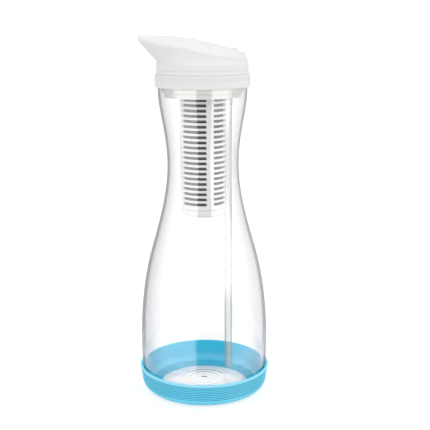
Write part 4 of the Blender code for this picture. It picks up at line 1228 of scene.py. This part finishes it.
def stopper_outline(s):
    """Outline of the collar over the rim, with its beaded sleeve."""
    top, radius, bottom = stopper_high.z, stopper_high.x, stopper_low.z
    curve = s.collar_rounding
    outline = [(s.sleeve_inner, top)]
    outline += arc((radius - curve, top - curve), curve, 90, 0, steps=8)
    outline += arc((radius - curve, s.collar_bottom + curve), curve, 0, COLLAR_TURN, steps=6)
    outline += [(s.collar_inner + s.collar_edge, s.collar_bottom),
                (s.collar_inner, s.collar_bottom + s.collar_edge),
                (s.collar_inner, s.web_height), (s.sleeve_radius, s.web_height)]
    for middle in spaced(s.web_height, bottom, s.bead_count + 1)[1:-1]:
        for angle in spaced(0.0, math.pi, s.bead_steps):
            outline.append((s.sleeve_radius + s.bead_height * math.sin(angle),
                            middle + s.bead_width / 2 * math.cos(angle)))
    outline += rounded([(s.sleeve_radius, bottom), (s.sleeve_inner, bottom)], s.edge)[1:-1]
    return outline


class CARAFE_OT_stopper(bpy.types.Operator):
    """Make the frosted stopper that seals the mouth"""
    bl_idname = "carafe.stopper"
    bl_label = "Mouth Stopper"

    def execute(self, context):
        s = context.scene.carafe_stopper
        plug = turned(stopper_outline(s), s.steps, "frosted_silicone")
        add_piece("stopper", plug, "frosted_silicone", "lid", "mouth_stopper")
        return {"FINISHED"}


def screw(c, radius, height):
    """A thread ridge round a radius, starting at a height."""
    return grown(thread_tree, bpy.data.meshes.new("thread"), "white_plastic",
                 Turns=c.thread_turns, Pitch=c.thread_pitch, Radius=radius,
                 Ridge=c.thread_radius, Height=height)


class CARAFE_OT_lid_base(bpy.types.Operator):
    """Make the hard core of the plug, with its thread socket and vent nipple"""
    bl_idname = "carafe.lid_base"
    bl_label = "Lid Base"

    def execute(self, context):
        s, c = context.scene.carafe_stopper, context.scene.carafe_cartridge
        ring = context.scene.carafe_lid.ring_radius
        bottom = s.flange_top - s.flange_height
        flange = s.core_radius + s.flange_out
        ceiling_top = s.ceiling + s.ceiling_wall
        socket = s.socket_bore + s.socket_wall
        core = turned(rounded([
            (s.core_inner, bottom), (flange, bottom), (flange, s.flange_top),
            (s.core_radius, s.flange_top), (s.core_radius, s.band_bottom),
            (ring, s.band_bottom), (ring, s.band_top), (s.core_inner, s.band_top),
            (s.core_inner, ceiling_top), (socket, ceiling_top), (socket, s.socket_top),
            (s.socket_bore, s.socket_top), (s.socket_bore, s.ceiling),
            (s.core_inner, s.ceiling)], s.edge), s.steps, "white_plastic")
        nipple = turned(rounded(oblong(
            s.nipple_bore, s.nipple_radius, s.ceiling - s.nipple_length,
            s.ceiling + s.ceiling_wall / 2), s.edge), s.tube_steps, "white_plastic", x=s.tube_x)
        ridge = screw(c, s.socket_bore + c.thread_radius * SOCKET_RIDGE,
                      s.ceiling + c.thread_start + c.thread_pitch / 2)
        add_piece("lid_core", merged(core, nipple, ridge), "white_plastic", "lid", "lid_base")
        return {"FINISHED"}


class CARAFE_OT_tube(bpy.types.Operator):
    """Make the long vent tube with its bell end"""
    bl_idname = "carafe.tube"
    bl_label = "Vent Tube"

    def execute(self, context):
        s = context.scene.carafe_stopper
        low, high = tube_low.z, tube_high.z
        bore = s.tube_radius - s.tube_wall
        bell_bore = s.bell_radius - s.bell_wall
        bell = high - s.bell_length
        neck = bell - (s.bell_radius - s.tube_radius)
        tube = turned(rounded([
            (bore, low), (s.tube_radius, low), (s.tube_radius, neck), (s.bell_radius, bell),
            (s.bell_radius, high), (bell_bore, high), (bell_bore, bell), (bore, neck)], s.edge),
            s.tube_steps, "frosted_plastic", x=s.tube_x)
        add_piece("drawn_tube", tube, "frosted_plastic", "lid", "vent_tube")
        return {"FINISHED"}


def spout_reach(p):
    """Distance of the nose from the axis."""
    return p.ring_radius + p.beak_length


def tip_rim(p):
    """Height of the rim at the nose."""
    return p.rear_rim + p.beak_rise


def keel_reach(p, height):
    """How far the beak's front edge stands from the axis at a height."""
    share = (height - p.ring_top) / (tip_rim(p) - p.ring_top)
    return p.ring_radius + p.beak_length * clamped(share) ** p.keel_curve


def parting_height(p, x):
    """Height of the joint between the spout body and the cover."""
    share = (p.chord_x - x) / (p.chord_x + spout_reach(p))
    return p.rear_rim + p.beak_rise * clamped(share) ** p.beak_curve


def tangent_radius(p, angle, inset, reach):
    """Distance from the axis to a ring and a nose circle joined by their tangents."""
    ring = p.ring_radius - inset
    nose = p.nose_radius - inset
    centre = reach - inset - nose
    angle = abs(angle)
    if centre <= ring - nose:
        return ring
    lean = math.acos((ring - nose) / centre)
    if angle >= lean:
        return ring
    touch = math.atan2(nose * math.sin(lean), centre + nose * math.cos(lean))
    if angle >= touch:
        return ring / math.cos(lean - angle)
    across = centre * math.sin(angle)
    return centre * math.cos(angle) + math.sqrt(max(nose ** 2 - across ** 2, 0.0))


def beak_radius(p, angle, inset, reach):
    """The same distance, with the tangents eased into the ring."""
    spread = min(p.blend, 0.5 * min(abs(angle), math.tau - abs(angle)))
    total = weights = 0.0
    for i in range(-BLEND_STEPS, BLEND_STEPS + 1):
        weight = 1 - (i / (BLEND_STEPS + 1)) ** 2
        near = math.remainder(angle + spread * i / BLEND_STEPS, math.tau)
        total += weight * tangent_radius(p, near, inset, reach)
        weights += weight
    return total / weights


def rim_height(p, angle, inset):
    """Height of the rim at an angle from the beak, drawn in by an inset."""
    height = p.rear_rim
    for _ in range(RIM_ROUNDS):
        x = -beak_radius(p, angle, inset, keel_reach(p, height)) * math.cos(angle)
        height = parting_height(p, x)
    return height


def wall_inset(p, angle, height):
    """How far the wall stands in from the ring, into which it flares out below."""
    share = clamped((height - p.ring_top) / p.flare_height)
    away = eased(abs(math.remainder(angle, math.tau)), p.flare_start, p.flare_start + p.flare_fade)
    return p.ring_step + p.flare_depth * (1 - (1 - share) ** 2) * away


def wall_radius(p, angle, height):
    """Distance from the axis to the outside of the wall above the ring."""
    return beak_radius(p, angle, 0.0, keel_reach(p, height)) - wall_inset(p, angle, height)


def beak_angles(p, last):
    """Angles from the nose round to the last one, crowded towards the nose."""
    return [last * (i / p.columns) ** p.crowding for i in range(p.columns + 1)]


def crown_line(p, x):
    """Height of the cover's ridge."""
    middle = p.crown_back - spout_reach(p)
    top = tip_rim(p) + p.cover_gap + p.cover_lip + p.crown_height
    return top - p.crown_radius + math.sqrt(p.crown_radius ** 2 - (x - middle) ** 2)


def spout_column(p, angle):
    """Points round the wall of the spout body at an angle, from its bore out and back."""
    base, edge = p.body_bottom, p.edge
    bottom = base - p.spigot_length
    seat_high = base - p.seal_seat + p.hinge_gap
    seat_low = base - p.seal_seat - p.seal_height - p.hinge_gap
    seat = p.spigot_radius - p.seal_width - p.hinge_gap
    column = [(p.bore, bottom + edge), (p.bore + edge, bottom), (p.spigot_radius - edge, bottom),
              (p.spigot_radius, bottom + edge), (p.spigot_radius, seat_low), (seat, seat_low),
              (seat, seat_high), (p.spigot_radius, seat_high), (p.spigot_radius, base),
              (p.ring_radius - edge, base), (p.ring_radius - BEVEL * edge, base + BEVEL * edge),
              (p.ring_radius, base + edge), (p.ring_radius, p.ring_top - p.ring_step)]
    rim = rim_height(p, angle, 0.0)
    for height in spaced(p.ring_top, rim - p.rim_edge, p.rows):
        column.append((wall_radius(p, angle, height), height))
    column.append((wall_radius(p, angle, rim) - p.rim_edge, rim))
    away = -math.cos(angle)
    limit = (p.chord_x - p.wall) / away if away > 0.0 else math.inf

    def inner(height):
        return min(beak_radius(p, angle, p.wall, keel_reach(p, height)), limit)

    rim = rim_height(p, angle, p.wall)
    column += [(inner(rim) + edge, rim), (inner(rim) + BEVEL * edge, rim - BEVEL * edge)]
    column += [(inner(height), height) for height in spaced(rim - edge, p.ring_top, p.rows)]
    floor = base + p.web
    side = min(p.ring_radius - p.wall, limit)
    column += [(side, floor + edge), (side - edge, floor), (p.bore + edge, floor),
               (p.bore, floor - edge)]
    return [(-radius * math.cos(angle), radius * math.sin(angle), height)
            for radius, height in column]


def pin_bore(p):
    """Radius of the holes that the hinge pin lies in."""
    return p.pin_radius + p.hinge_gap / 3


def hinge_rod(p, half, radius, edge, slot):
    """A round bar along the hinge, with softened ends, made from the top so that it faces out."""
    outline = rounded(oblong(0.0, radius, half, -half), edge, closed=False)
    return lying(turned(outline, p.pin_steps, slot, closed=False))


class CARAFE_OT_spout(bpy.types.Operator):
    """Make the white ring that draws out into the beak, with its hinge ears"""
    bl_idname = "carafe.spout"
    bl_label = "Spout Body"

    def execute(self, context):
        p = context.scene.carafe_lid
        half = beak_angles(p, math.pi)
        angles = half[:-1] + [math.tau - angle for angle in half[:0:-1]]
        body = lofted(zip(*[spout_column(p, angle) for angle in angles]), closed=True)
        low = p.rear_rim - p.ear_foot
        toe = hinge_x + p.knuckle_radius + p.ear_foot
        ear = [(hinge_x - p.knuckle_radius, low), (toe, low), (toe, p.rear_rim + p.ear_foot)]
        ear += arc((hinge_x, hinge_z), p.knuckle_radius, 0, 180, steps=18)
        near = p.hinge_half - p.ear_width
        bore = hinge_rod(p, 2 * p.hinge_half, pin_bore(p), 0.0, "white_plastic")
        tools = [(slab(ear, -p.hinge_half, -near, p.edge), "UNION"),
                 (slab(ear, near, p.hinge_half, p.edge), "UNION"), (bore, "DIFFERENCE")]
        add_piece("spout_shell", carved(body, tools), "white_plastic", "lid", "spout_body")
        return {"FINISHED"}


def cover_section(p, angle, inset):
    """Points across the cover at an angle from the nose, from its right edge to its left.

    Without an inset it is the outside, with an upright edge that bends into the dome.
    """
    outer = inset == 0.0
    rim = rim_height(p, angle, inset)
    radius = beak_radius(p, angle, inset, keel_reach(p, rim)) - wall_inset(p, angle, rim)
    x = -radius * math.cos(angle)
    half = radius * math.sin(angle) if angle > 0.0 else 0.0
    low = rim + p.cover_gap
    edge = low + (p.cover_lip if outer else 0.0)
    nose = min((x + spout_reach(p) - inset) / p.cover_nose, 1.0)
    swell = math.sqrt(max(1 - (1 - max(nose, 0.0)) ** 2, 0.0))
    crown = max(crown_line(p, x) - inset - edge, 0.0) * swell

    def dome(y):
        share = y / half if half > 0.0 else 1.0
        return edge + crown * (1 - abs(share) ** p.crown_shape)

    right = [(half, low)]
    stop = half
    if outer:
        stop -= min(p.cover_round, COVER_BEND * half)
        right += bend(Vector((half, edge - p.cover_round)), Vector((half, edge)),
                      Vector((stop, dome(stop))), steps=5)
    middle = [(y, dome(y)) for y in spaced(stop, -stop, p.dome_steps)[1:-1]]
    left = [(-y, z) for y, z in reversed(right)]
    return [(x, y, z) for y, z in right + middle + left]


def cover_mesh(p):
    """The domed shell, open below, with a straight wall at the chord."""
    shape = bmesh.new()
    skins = []
    for inset in (0.0, p.wall):
        last = math.pi - math.acos((p.chord_x - inset) / (p.ring_radius - inset))
        rows = [[shape.verts.new(point) for point in cover_section(p, angle, inset)]
                for angle in beak_angles(p, last)]
        for here, there in zip(rows, rows[1:]):
            for k in range(len(here) - 1):
                shape.faces.new((here[k], here[k + 1], there[k + 1], there[k]))
        shape.faces.new(rows[-1])
        skins.append(rows)
    outer, inner = skins
    for end in (0, -1):
        for i in range(len(outer) - 1):
            shape.faces.new((outer[i][end], outer[i + 1][end], inner[i + 1][end], inner[i][end]))
    shape.faces.new((outer[-1][0], outer[-1][-1], inner[-1][-1], inner[-1][0]))
    bmesh.ops.remove_doubles(shape, verts=shape.verts, dist=WELD)
    bmesh.ops.recalc_face_normals(shape, faces=shape.faces)
    return as_mesh(shape, "cover")


class CARAFE_OT_cover(bpy.types.Operator):
    """Make the domed flip cover, with its knuckle and thumb tab"""
    bl_idname = "carafe.cover"
    bl_label = "Flip Cover"

    def execute(self, context):
        p = context.scene.carafe_lid
        half = p.hinge_half - p.ear_width - p.hinge_gap
        bore = pin_bore(p)
        knuckle = rounded(oblong(bore, p.knuckle_radius, -half, half), p.edge)
        web = oblong(p.chord_x - p.wall / 2, hinge_x - bore - p.hinge_gap,
                     hinge_z - p.knuckle_web / 2, hinge_z + p.knuckle_web / 2)
        top = crown_line(p, p.chord_x)
        tab = [(p.chord_x - p.tab_radius, top - p.tab_radius / 2),
               (p.chord_x + p.tab_radius, top - p.tab_radius / 2)]
        tab += arc((p.chord_x, top), p.tab_radius, 0, 180, steps=18)
        tools = [slab(web, -half, half, p.edge / 2),
                 lying(turned(knuckle, p.pin_steps, "white_plastic")),
                 slab(tab, -p.tab_half, p.tab_half, 2 * p.edge)]
        shell = carved(cover_mesh(p), [(tool, "UNION") for tool in tools])
        add_piece("domed_cover", shell, "white_plastic", "cover", "flip_cover")
        return {"FINISHED"}


class CARAFE_OT_fittings(bpy.types.Operator):
    """Make the hinge pin and the two sealing rings"""
    bl_idname = "carafe.fittings"
    bl_label = "Pin and Seals"

    def execute(self, context):
        p, c = context.scene.carafe_lid, context.scene.carafe_cartridge
        pin = hinge_rod(p, p.hinge_half, p.pin_radius, p.pin_radius / 3, "steel")
        add_piece("pin", pin, "steel", "lid", "hinge_pin")
        high = p.body_bottom - p.seal_seat
        ring = rounded(oblong(p.spigot_radius - p.seal_width, p.spigot_radius,
                              high - p.seal_height, high), p.seal_width / 2, steps=6)
        add_piece("spout_ring", turned(ring, p.seal_steps, "clear_seal"), "clear_seal", "lid",
                  "spout_seal")
        low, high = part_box("cartridge_seal")
        ring = rounded(oblong(context.scene.carafe_stopper.socket_bore, high.x, low.z, high.z),
                       (high.z - low.z) / 2, steps=6)
        add_piece("cartridge_ring", turned(ring, c.steps, "clear_seal"), "clear_seal",
                  "cartridge_ring", "cartridge_seal")
        return {"FINISHED"}


def slot_cell(c):
    """One slot with the wall round it, flat: angle along X, depth in the wall along Y, 0 to 1."""
    bevel = c.slot_edge / (c.radius - c.inner)

    def loop(grow):
        """A slot's outline, grown by an amount, from its lower left corner round."""
        curve = c.slot_round + grow
        high = c.slot_height / 2 + grow
        wide = (c.radius * c.slot_sweep) / 2 + grow
        points = [(x, -high) for x in spaced(curve - wide, wide - curve, c.slot_steps)]
        points += arc((wide - curve, curve - high), curve, -90, 0, steps=CORNER_STEPS)[1:]
        return [(x / c.radius, y) for x, y in points + [(-x, -y) for x, y in points]]

    wide, high = math.pi / c.slot_columns, c.slot_pitch / 2
    border = [(x, -high) for x in spaced(-wide, wide, c.slot_steps)]
    border += [(wide, y) for y in spaced(-high, high, CORNER_STEPS + 1)[1:-1]]
    border += [(-x, -y) for x, y in border]
    loops = [(border, 0.0), (loop(c.slot_edge), 0.0), (loop(c.slot_edge * BEVEL), bevel * BEVEL),
             (loop(0.0), bevel), (loop(0.0), 1.0), (border, 1.0)]
    return lofted([[(x, depth, z) for x, z in points] for points, depth in loops], closed=False)


class CARAFE_OT_housing(bpy.types.Operator):
    """Make the slotted housing of the filter cartridge"""
    bl_idname = "carafe.housing"
    bl_label = "Slotted Housing"

    def execute(self, context):
        c = context.scene.carafe_cartridge
        low, high = housing_low.z, housing_high.z
        wall = grown(slotted_tree, slot_cell(c), "white_plastic", Columns=c.slot_columns,
                     Rows=c.slot_rows, Pitch=c.slot_pitch, Start=c.slot_start + c.slot_sweep / 2,
                     Radius=c.radius, Draft=c.draft, Bore=c.inner, Lowest=low + c.slot_margin,
                     Bottom=low, Top=high)
        shape = bmesh.new()
        shape.from_mesh(wall)
        bmesh.ops.remove_doubles(shape, verts=shape.verts, dist=SLOT_WELD)
        for level in (low, high):
            rims = [edge for edge in shape.edges if edge.is_boundary
                    and all(abs(v.co.z - level) < RIM_LEVEL for v in edge.verts)]
            bmesh.ops.bridge_loops(shape, edges=rims)
        add_piece("slotted_housing", as_mesh(shape, "housing"), "white_plastic", "cartridge",
                  "cartridge_housing")
        return {"FINISHED"}


class CARAFE_OT_cartridge_ends(bpy.types.Operator):
    """Make the cartridge's cap with its screw neck, and its rounded foot"""
    bl_idname = "carafe.cartridge_ends"
    bl_label = "Cartridge Cap and Foot"

    def execute(self, context):
        c = context.scene.carafe_cartridge
        low = cap_low.z + c.spigot_height
        high = low + c.shoulder
        spigot = c.inner - c.fit_gap
        hollow = spigot - c.spigot_wall
        cap = turned(rounded([
            (c.neck_bore, low), (hollow, low), (hollow, cap_low.z), (spigot, cap_low.z),
            (spigot, low), (c.radius, low), (c.radius, high), (c.neck_radius, high),
            (c.neck_radius, cap_high.z), (c.neck_bore, cap_high.z)], c.edge), c.steps,
            "white_plastic")
        ridge = screw(c, c.neck_radius + c.thread_radius * NECK_RIDGE,
                      context.scene.carafe_stopper.ceiling + c.thread_start)
        add_piece("screw_cap", merged(cap, ridge), "white_plastic", "cartridge", "cartridge_cap")
        radius = c.radius - c.draft
        low, high = foot_low.z, foot_high.z
        curve, top = low + c.foot_round, high - c.spigot_height
        dish = radius * c.foot_dish
        outline = [(0.0, low + c.edge), (dish, low + c.edge), (dish + c.edge, low)]
        outline += arc((radius - c.foot_round, curve), c.foot_round, -90, 0, steps=10)
        outline += rounded([(radius, curve), (radius, top), (spigot, top), (spigot, high),
                            (0.0, high)], c.edge, closed=False)[1:]
        foot = turned(outline, c.steps, "white_plastic", closed=False)
        add_piece("rounded_foot", foot, "white_plastic", "cartridge", "cartridge_foot")
        return {"FINISHED"}


class CARAFE_OT_filling(bpy.types.Operator):
    """Make the mesh sleeve and the filter layers inside it"""
    bl_idname = "carafe.filling"
    bl_label = "Filter Layers"

    def execute(self, context):
        c = context.scene.carafe_cartridge
        self.make_sleeve(c)
        for name, node in (("lower_pad", "lower_felt_pad"), ("upper_pad", "upper_felt_pad")):
            self.make_pad(c, name, node)
        for bed in (("carbon_grains", "carbon_bed", "black_carbon", c.carbon_size, CARBON_SEED),
                    ("mineral_grains", "mineral_bed", "clay_mineral", c.mineral_size,
                     MINERAL_SEED)):
            self.make_bed(c, *bed)
        for name, node in (("divider_screen", "media_divider"), ("top_screen", "outlet_screen")):
            self.make_screen(c, name, node)
        return {"FINISHED"}

    def make_sleeve(self, c):
        """The black sleeve: a thin liner with a mesh of wires on it."""
        low, high = mesh_low.z, mesh_high.z
        outer = mesh_high.y - 2 * c.wire_radius
        liner = turned(oblong(outer - c.wire_radius, outer, low, high), c.sleeve_steps,
                       "black_mesh")
        sleeve = grown(wire_tree, liner, "black_mesh", Rings=c.wire_rings, Stays=c.wire_stays,
                       Radius=outer + c.wire_radius * WIRE_LIFT, Wire=c.wire_radius, Bottom=low,
                       Top=high)
        add_piece("wire_sleeve", sleeve, "black_mesh", "cartridge", "mesh_sleeve")

    def make_pad(self, c, name, node):
        """A felt pad with a rounded edge."""
        low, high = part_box(node)
        outline = rounded(oblong(0.0, -low.y, low.z, high.z), (high.z - low.z) * PAD_ROUND,
                          steps=5, closed=False)
        pad = turned(outline, c.layer_steps, "white_felt", closed=False)
        add_piece(name, pad, "white_felt", "cartridge", node)

    def make_bed(self, c, name, node, slot, size, seed):
        """A core with grains heaped on it, as deep as half a grain."""
        low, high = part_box(node)
        inset = size / 2
        core = turned(oblong(0.0, high.y - inset, low.z + inset, high.z - inset), c.bed_steps,
                      slot, closed=False)
        heap = grown(grain_tree, core, slot, Density=c.grain_density, Size=size, Seed=seed)
        add_piece(name, heap, slot, "cartridge", node)

    def make_screen(self, c, name, node):
        """A round rim with a grate of rings and spokes in it."""
        low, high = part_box(node)
        half = (high.z - low.z) / 2
        rim = rounded(oblong(high.y - 2 * half, high.y, low.z, high.z), half * SCREEN_ROUND)
        grate = grown(screen_tree, turned(rim, c.layer_steps, "white_plastic"), "white_plastic",
                      Rings=c.screen_rings, Bars=c.screen_bars, Radius=high.y - half,
                      Bar=half * SCREEN_BAR, Height=low.z + half)
        add_piece(name, grate, "white_plastic", "cartridge", node)


def add_sun(name, strength, spread, way):
    """A soft light from far off, shining the way given, which gloss and glass don't see."""
    lamp = bpy.data.lights.new(name, "SUN")
    lamp.energy = strength * math.pi    # a strength of 1 lights white to 1
    lamp.angle = spread
    item = placed(name, lamp)
    item.visible_glossy = item.visible_transmission = False
    item.rotation_mode = "QUATERNION"
    item.rotation_quaternion = Vector(way).to_track_quat("-Z", "Y")


def wall_level(studio, off, height):
    """Brightness of the studio's wall at an angle from the camera, left of it if positive."""
    def lit(ends, angle):
        start, rise, end, fall = ends
        return eased(angle, start - rise, start) - eased(angle, end, end + fall)

    angle = abs(off)
    foot_rise = eased(height, *studio.foot_span)
    card = studio.card_level * lit(studio.card, angle)
    if off > 0:
        high, low = lit(studio.left_box, angle), lit(studio.left_foot, angle)
        card *= studio.left_card
    else:
        high = lit(studio.right_box, angle) * eased(height, *studio.sill_span)
        low = lit(studio.right_foot, angle)
    box = high * foot_rise + low * studio.box_foot * (1 - foot_rise)
    behind = studio.back_level * eased(angle, *studio.back_span)
    return max(studio.box_level * box + card, behind)


class CARAFE_OT_stage(bpy.types.Operator):
    """Set up the floor, the world, the lamps and the camera"""
    bl_idname = "carafe.stage"
    bl_label = "Studio"

    def execute(self, context):
        studio = context.scene.carafe_studio
        context.scene.view_settings.view_transform = "Standard"
        self.make_world(context, studio)
        self.make_floor(context.scene.carafe_colours, studio)
        self.make_wall(studio)
        self.make_camera(context, studio)
        self.make_lamps(studio)
        return {"FINISHED"}

    def make_world(self, context, studio):
        """Even light from all round, which is seen as plain white."""
        world = bpy.data.worlds.new("Studio")
        context.scene.world = world
        world.use_nodes = True
        sky = Nodes(world.node_tree)
        back = sky.nodes["Background"].inputs
        sky.give(back["Color"], (1.0, 1.0, 1.0, 1.0))
        sky.give(back["Strength"], sky.add("ShaderNodeMapRange", {
            "Value": sky.seen(), "To Min": studio.ambient, "To Max": studio.backdrop})[0])

    def make_floor(self, colours, studio):
        """A pale round floor that keeps the shadow and is seen as nearly white."""
        look = Shading("pale_floor")
        look.nodes.remove(look.shader)
        seen = look.seen()
        plain = look.add("ShaderNodeBsdfDiffuse", {
            "Color": look.blend(seen, colours.floor, colours.floor_seen)})[0]
        glow = look.add("ShaderNodeEmission", {
            "Strength": look.math("MULTIPLY", seen, studio.fill)})[0]
        look.surface(look.add("ShaderNodeAddShader", {0: plain, 1: glow})[0])
        shape = bmesh.new()
        bmesh.ops.create_circle(shape, cap_ends=True, segments=studio.table_steps,
                                radius=studio.table)
        mesh = as_mesh(shape, "floor")
        mesh.transform(Matrix.Translation((0.0, 0.0, -studio.table_drop)))
        mesh.materials.append(look.material)
        floor = placed("floor", mesh)

    def make_wall(self, studio):
        """A dark round wall with two soft boxes and white cards on it, which only gloss sees."""
        look = Shading("studio_glow")
        look.nodes.remove(look.shader)
        look.material.cycles.emission_sampling = "NONE"     # it is seen, but lights nothing
        look.surface(look.add("ShaderNodeEmission", {"Strength": look.marked("glow")})[0])
        points, faces, levels = [], [], []
        heights = spaced(*studio.wall_span, studio.wall_rows)
        for i, off in enumerate(spaced(-math.pi, math.pi, studio.wall_columns)):
            a = studio.azimuth + math.pi + off
            x, y = studio.wall_distance * math.sin(a), studio.wall_distance * math.cos(a)
            for k, height in enumerate(heights):
                points.append((x, y, height))
                levels.append(wall_level(studio, off, height))
                if i and k:
                    here = i * len(heights) + k
                    back = here - len(heights)
                    faces.append((back - 1, here - 1, here, back))
        mesh = bpy.data.meshes.new("studio_wall")
        mesh.from_pydata(points, [], faces)
        mesh.attributes.new("glow", "FLOAT", "POINT").data.foreach_set("value", levels)
        mesh.materials.append(look.material)
        wall = placed("studio_wall", mesh)
        wall.visible_camera = wall.visible_diffuse = wall.visible_shadow = False
        wall.visible_transmission = False

    def make_camera(self, context, studio):
        """The camera, where the photograph was taken from."""
        camera = placed("camera", bpy.data.cameras.new("camera"))
        camera.data.lens = studio.focal * camera.data.sensor_width
        camera.data.shift_x = studio.shift
        camera.data.clip_start, camera.data.clip_end = studio.view_depth
        a, pitch = studio.azimuth, studio.pitch
        ahead = Vector((math.sin(a), math.cos(a), 0.0))
        forward = ahead * math.cos(pitch) - Vector((0.0, 0.0, math.sin(pitch)))
        right = Vector((math.cos(a), -math.sin(a), 0.0))
        basis = Matrix((right, right.cross(forward), -forward)).transposed()
        camera.rotation_mode = "QUATERNION"
        lean = Matrix.Rotation(studio.roll, 3, "Z")
        camera.rotation_quaternion = (basis @ lean).to_quaternion()
        camera.location = -studio.distance * ahead
        camera.location.z = studio.height
        context.scene.camera = camera

    def make_lamps(self, studio):
        """Weak soft lamps that model the white pieces."""
        for name, strength, angle, height in (
                ("key", studio.key, studio.key_angle, studio.key_height),
                ("side", studio.side, studio.side_angle, studio.side_height)):
            a = studio.azimuth - angle
            add_sun(name, strength, studio.lamp_spread, (math.sin(a), math.cos(a), -height))
        add_sun("top", studio.top, studio.lamp_spread, TOP_WAY)


class CARAFE_PT_panel(bpy.types.Panel):
    """Lists the carafe's sizes, colours and operators"""
    bl_label = "Filter Carafe"
    bl_idname = "CARAFE_PT_panel"
    bl_space_type = "VIEW_3D"
    bl_region_type = "UI"
    bl_category = "Carafe"

    def draw(self, context):
        for operator in operators:
            self.layout.operator(operator.bl_idname)
        for holder in holders:
            group = getattr(context.scene, holder)
            box = self.layout.box()
            for key in group.bl_rna.properties.keys():
                if key not in ("name", "rna_type"):
                    box.prop(group, key)


holders = {
    "carafe_bottle": BottleSizes, "carafe_boot": BootSizes, "carafe_stopper": StopperSizes,
    "carafe_lid": LidSizes, "carafe_cartridge": CartridgeSizes, "carafe_colours": CarafeColours,
    "carafe_studio": StudioSettings,
}
operators = (
    CARAFE_OT_stage, CARAFE_OT_bottle, CARAFE_OT_boot, CARAFE_OT_stopper, CARAFE_OT_lid_base,
    CARAFE_OT_tube, CARAFE_OT_spout, CARAFE_OT_cover, CARAFE_OT_fittings, CARAFE_OT_housing,
    CARAFE_OT_cartridge_ends, CARAFE_OT_filling,
)


def register():
    for item in (*holders.values(), *operators, CARAFE_PT_panel):
        bpy.utils.register_class(item)
    for name, group in holders.items():
        setattr(bpy.types.Scene, name, PointerProperty(type=group))


def unregister():
    for name in holders:
        delattr(bpy.types.Scene, name)
    for item in reversed((*holders.values(), *operators, CARAFE_PT_panel)):
        bpy.utils.unregister_class(item)


def main():
    """Make the stage and every piece."""
    register()
    bpy.ops.carafe.stage()
    bpy.ops.carafe.bottle()
    bpy.ops.carafe.boot()
    bpy.ops.carafe.stopper()
    bpy.ops.carafe.lid_base()
    bpy.ops.carafe.tube()
    bpy.ops.carafe.spout()
    bpy.ops.carafe.cover()
    bpy.ops.carafe.fittings()
    bpy.ops.carafe.housing()
    bpy.ops.carafe.cartridge_ends()
    bpy.ops.carafe.filling()


if __name__ == "__main__":
    main()
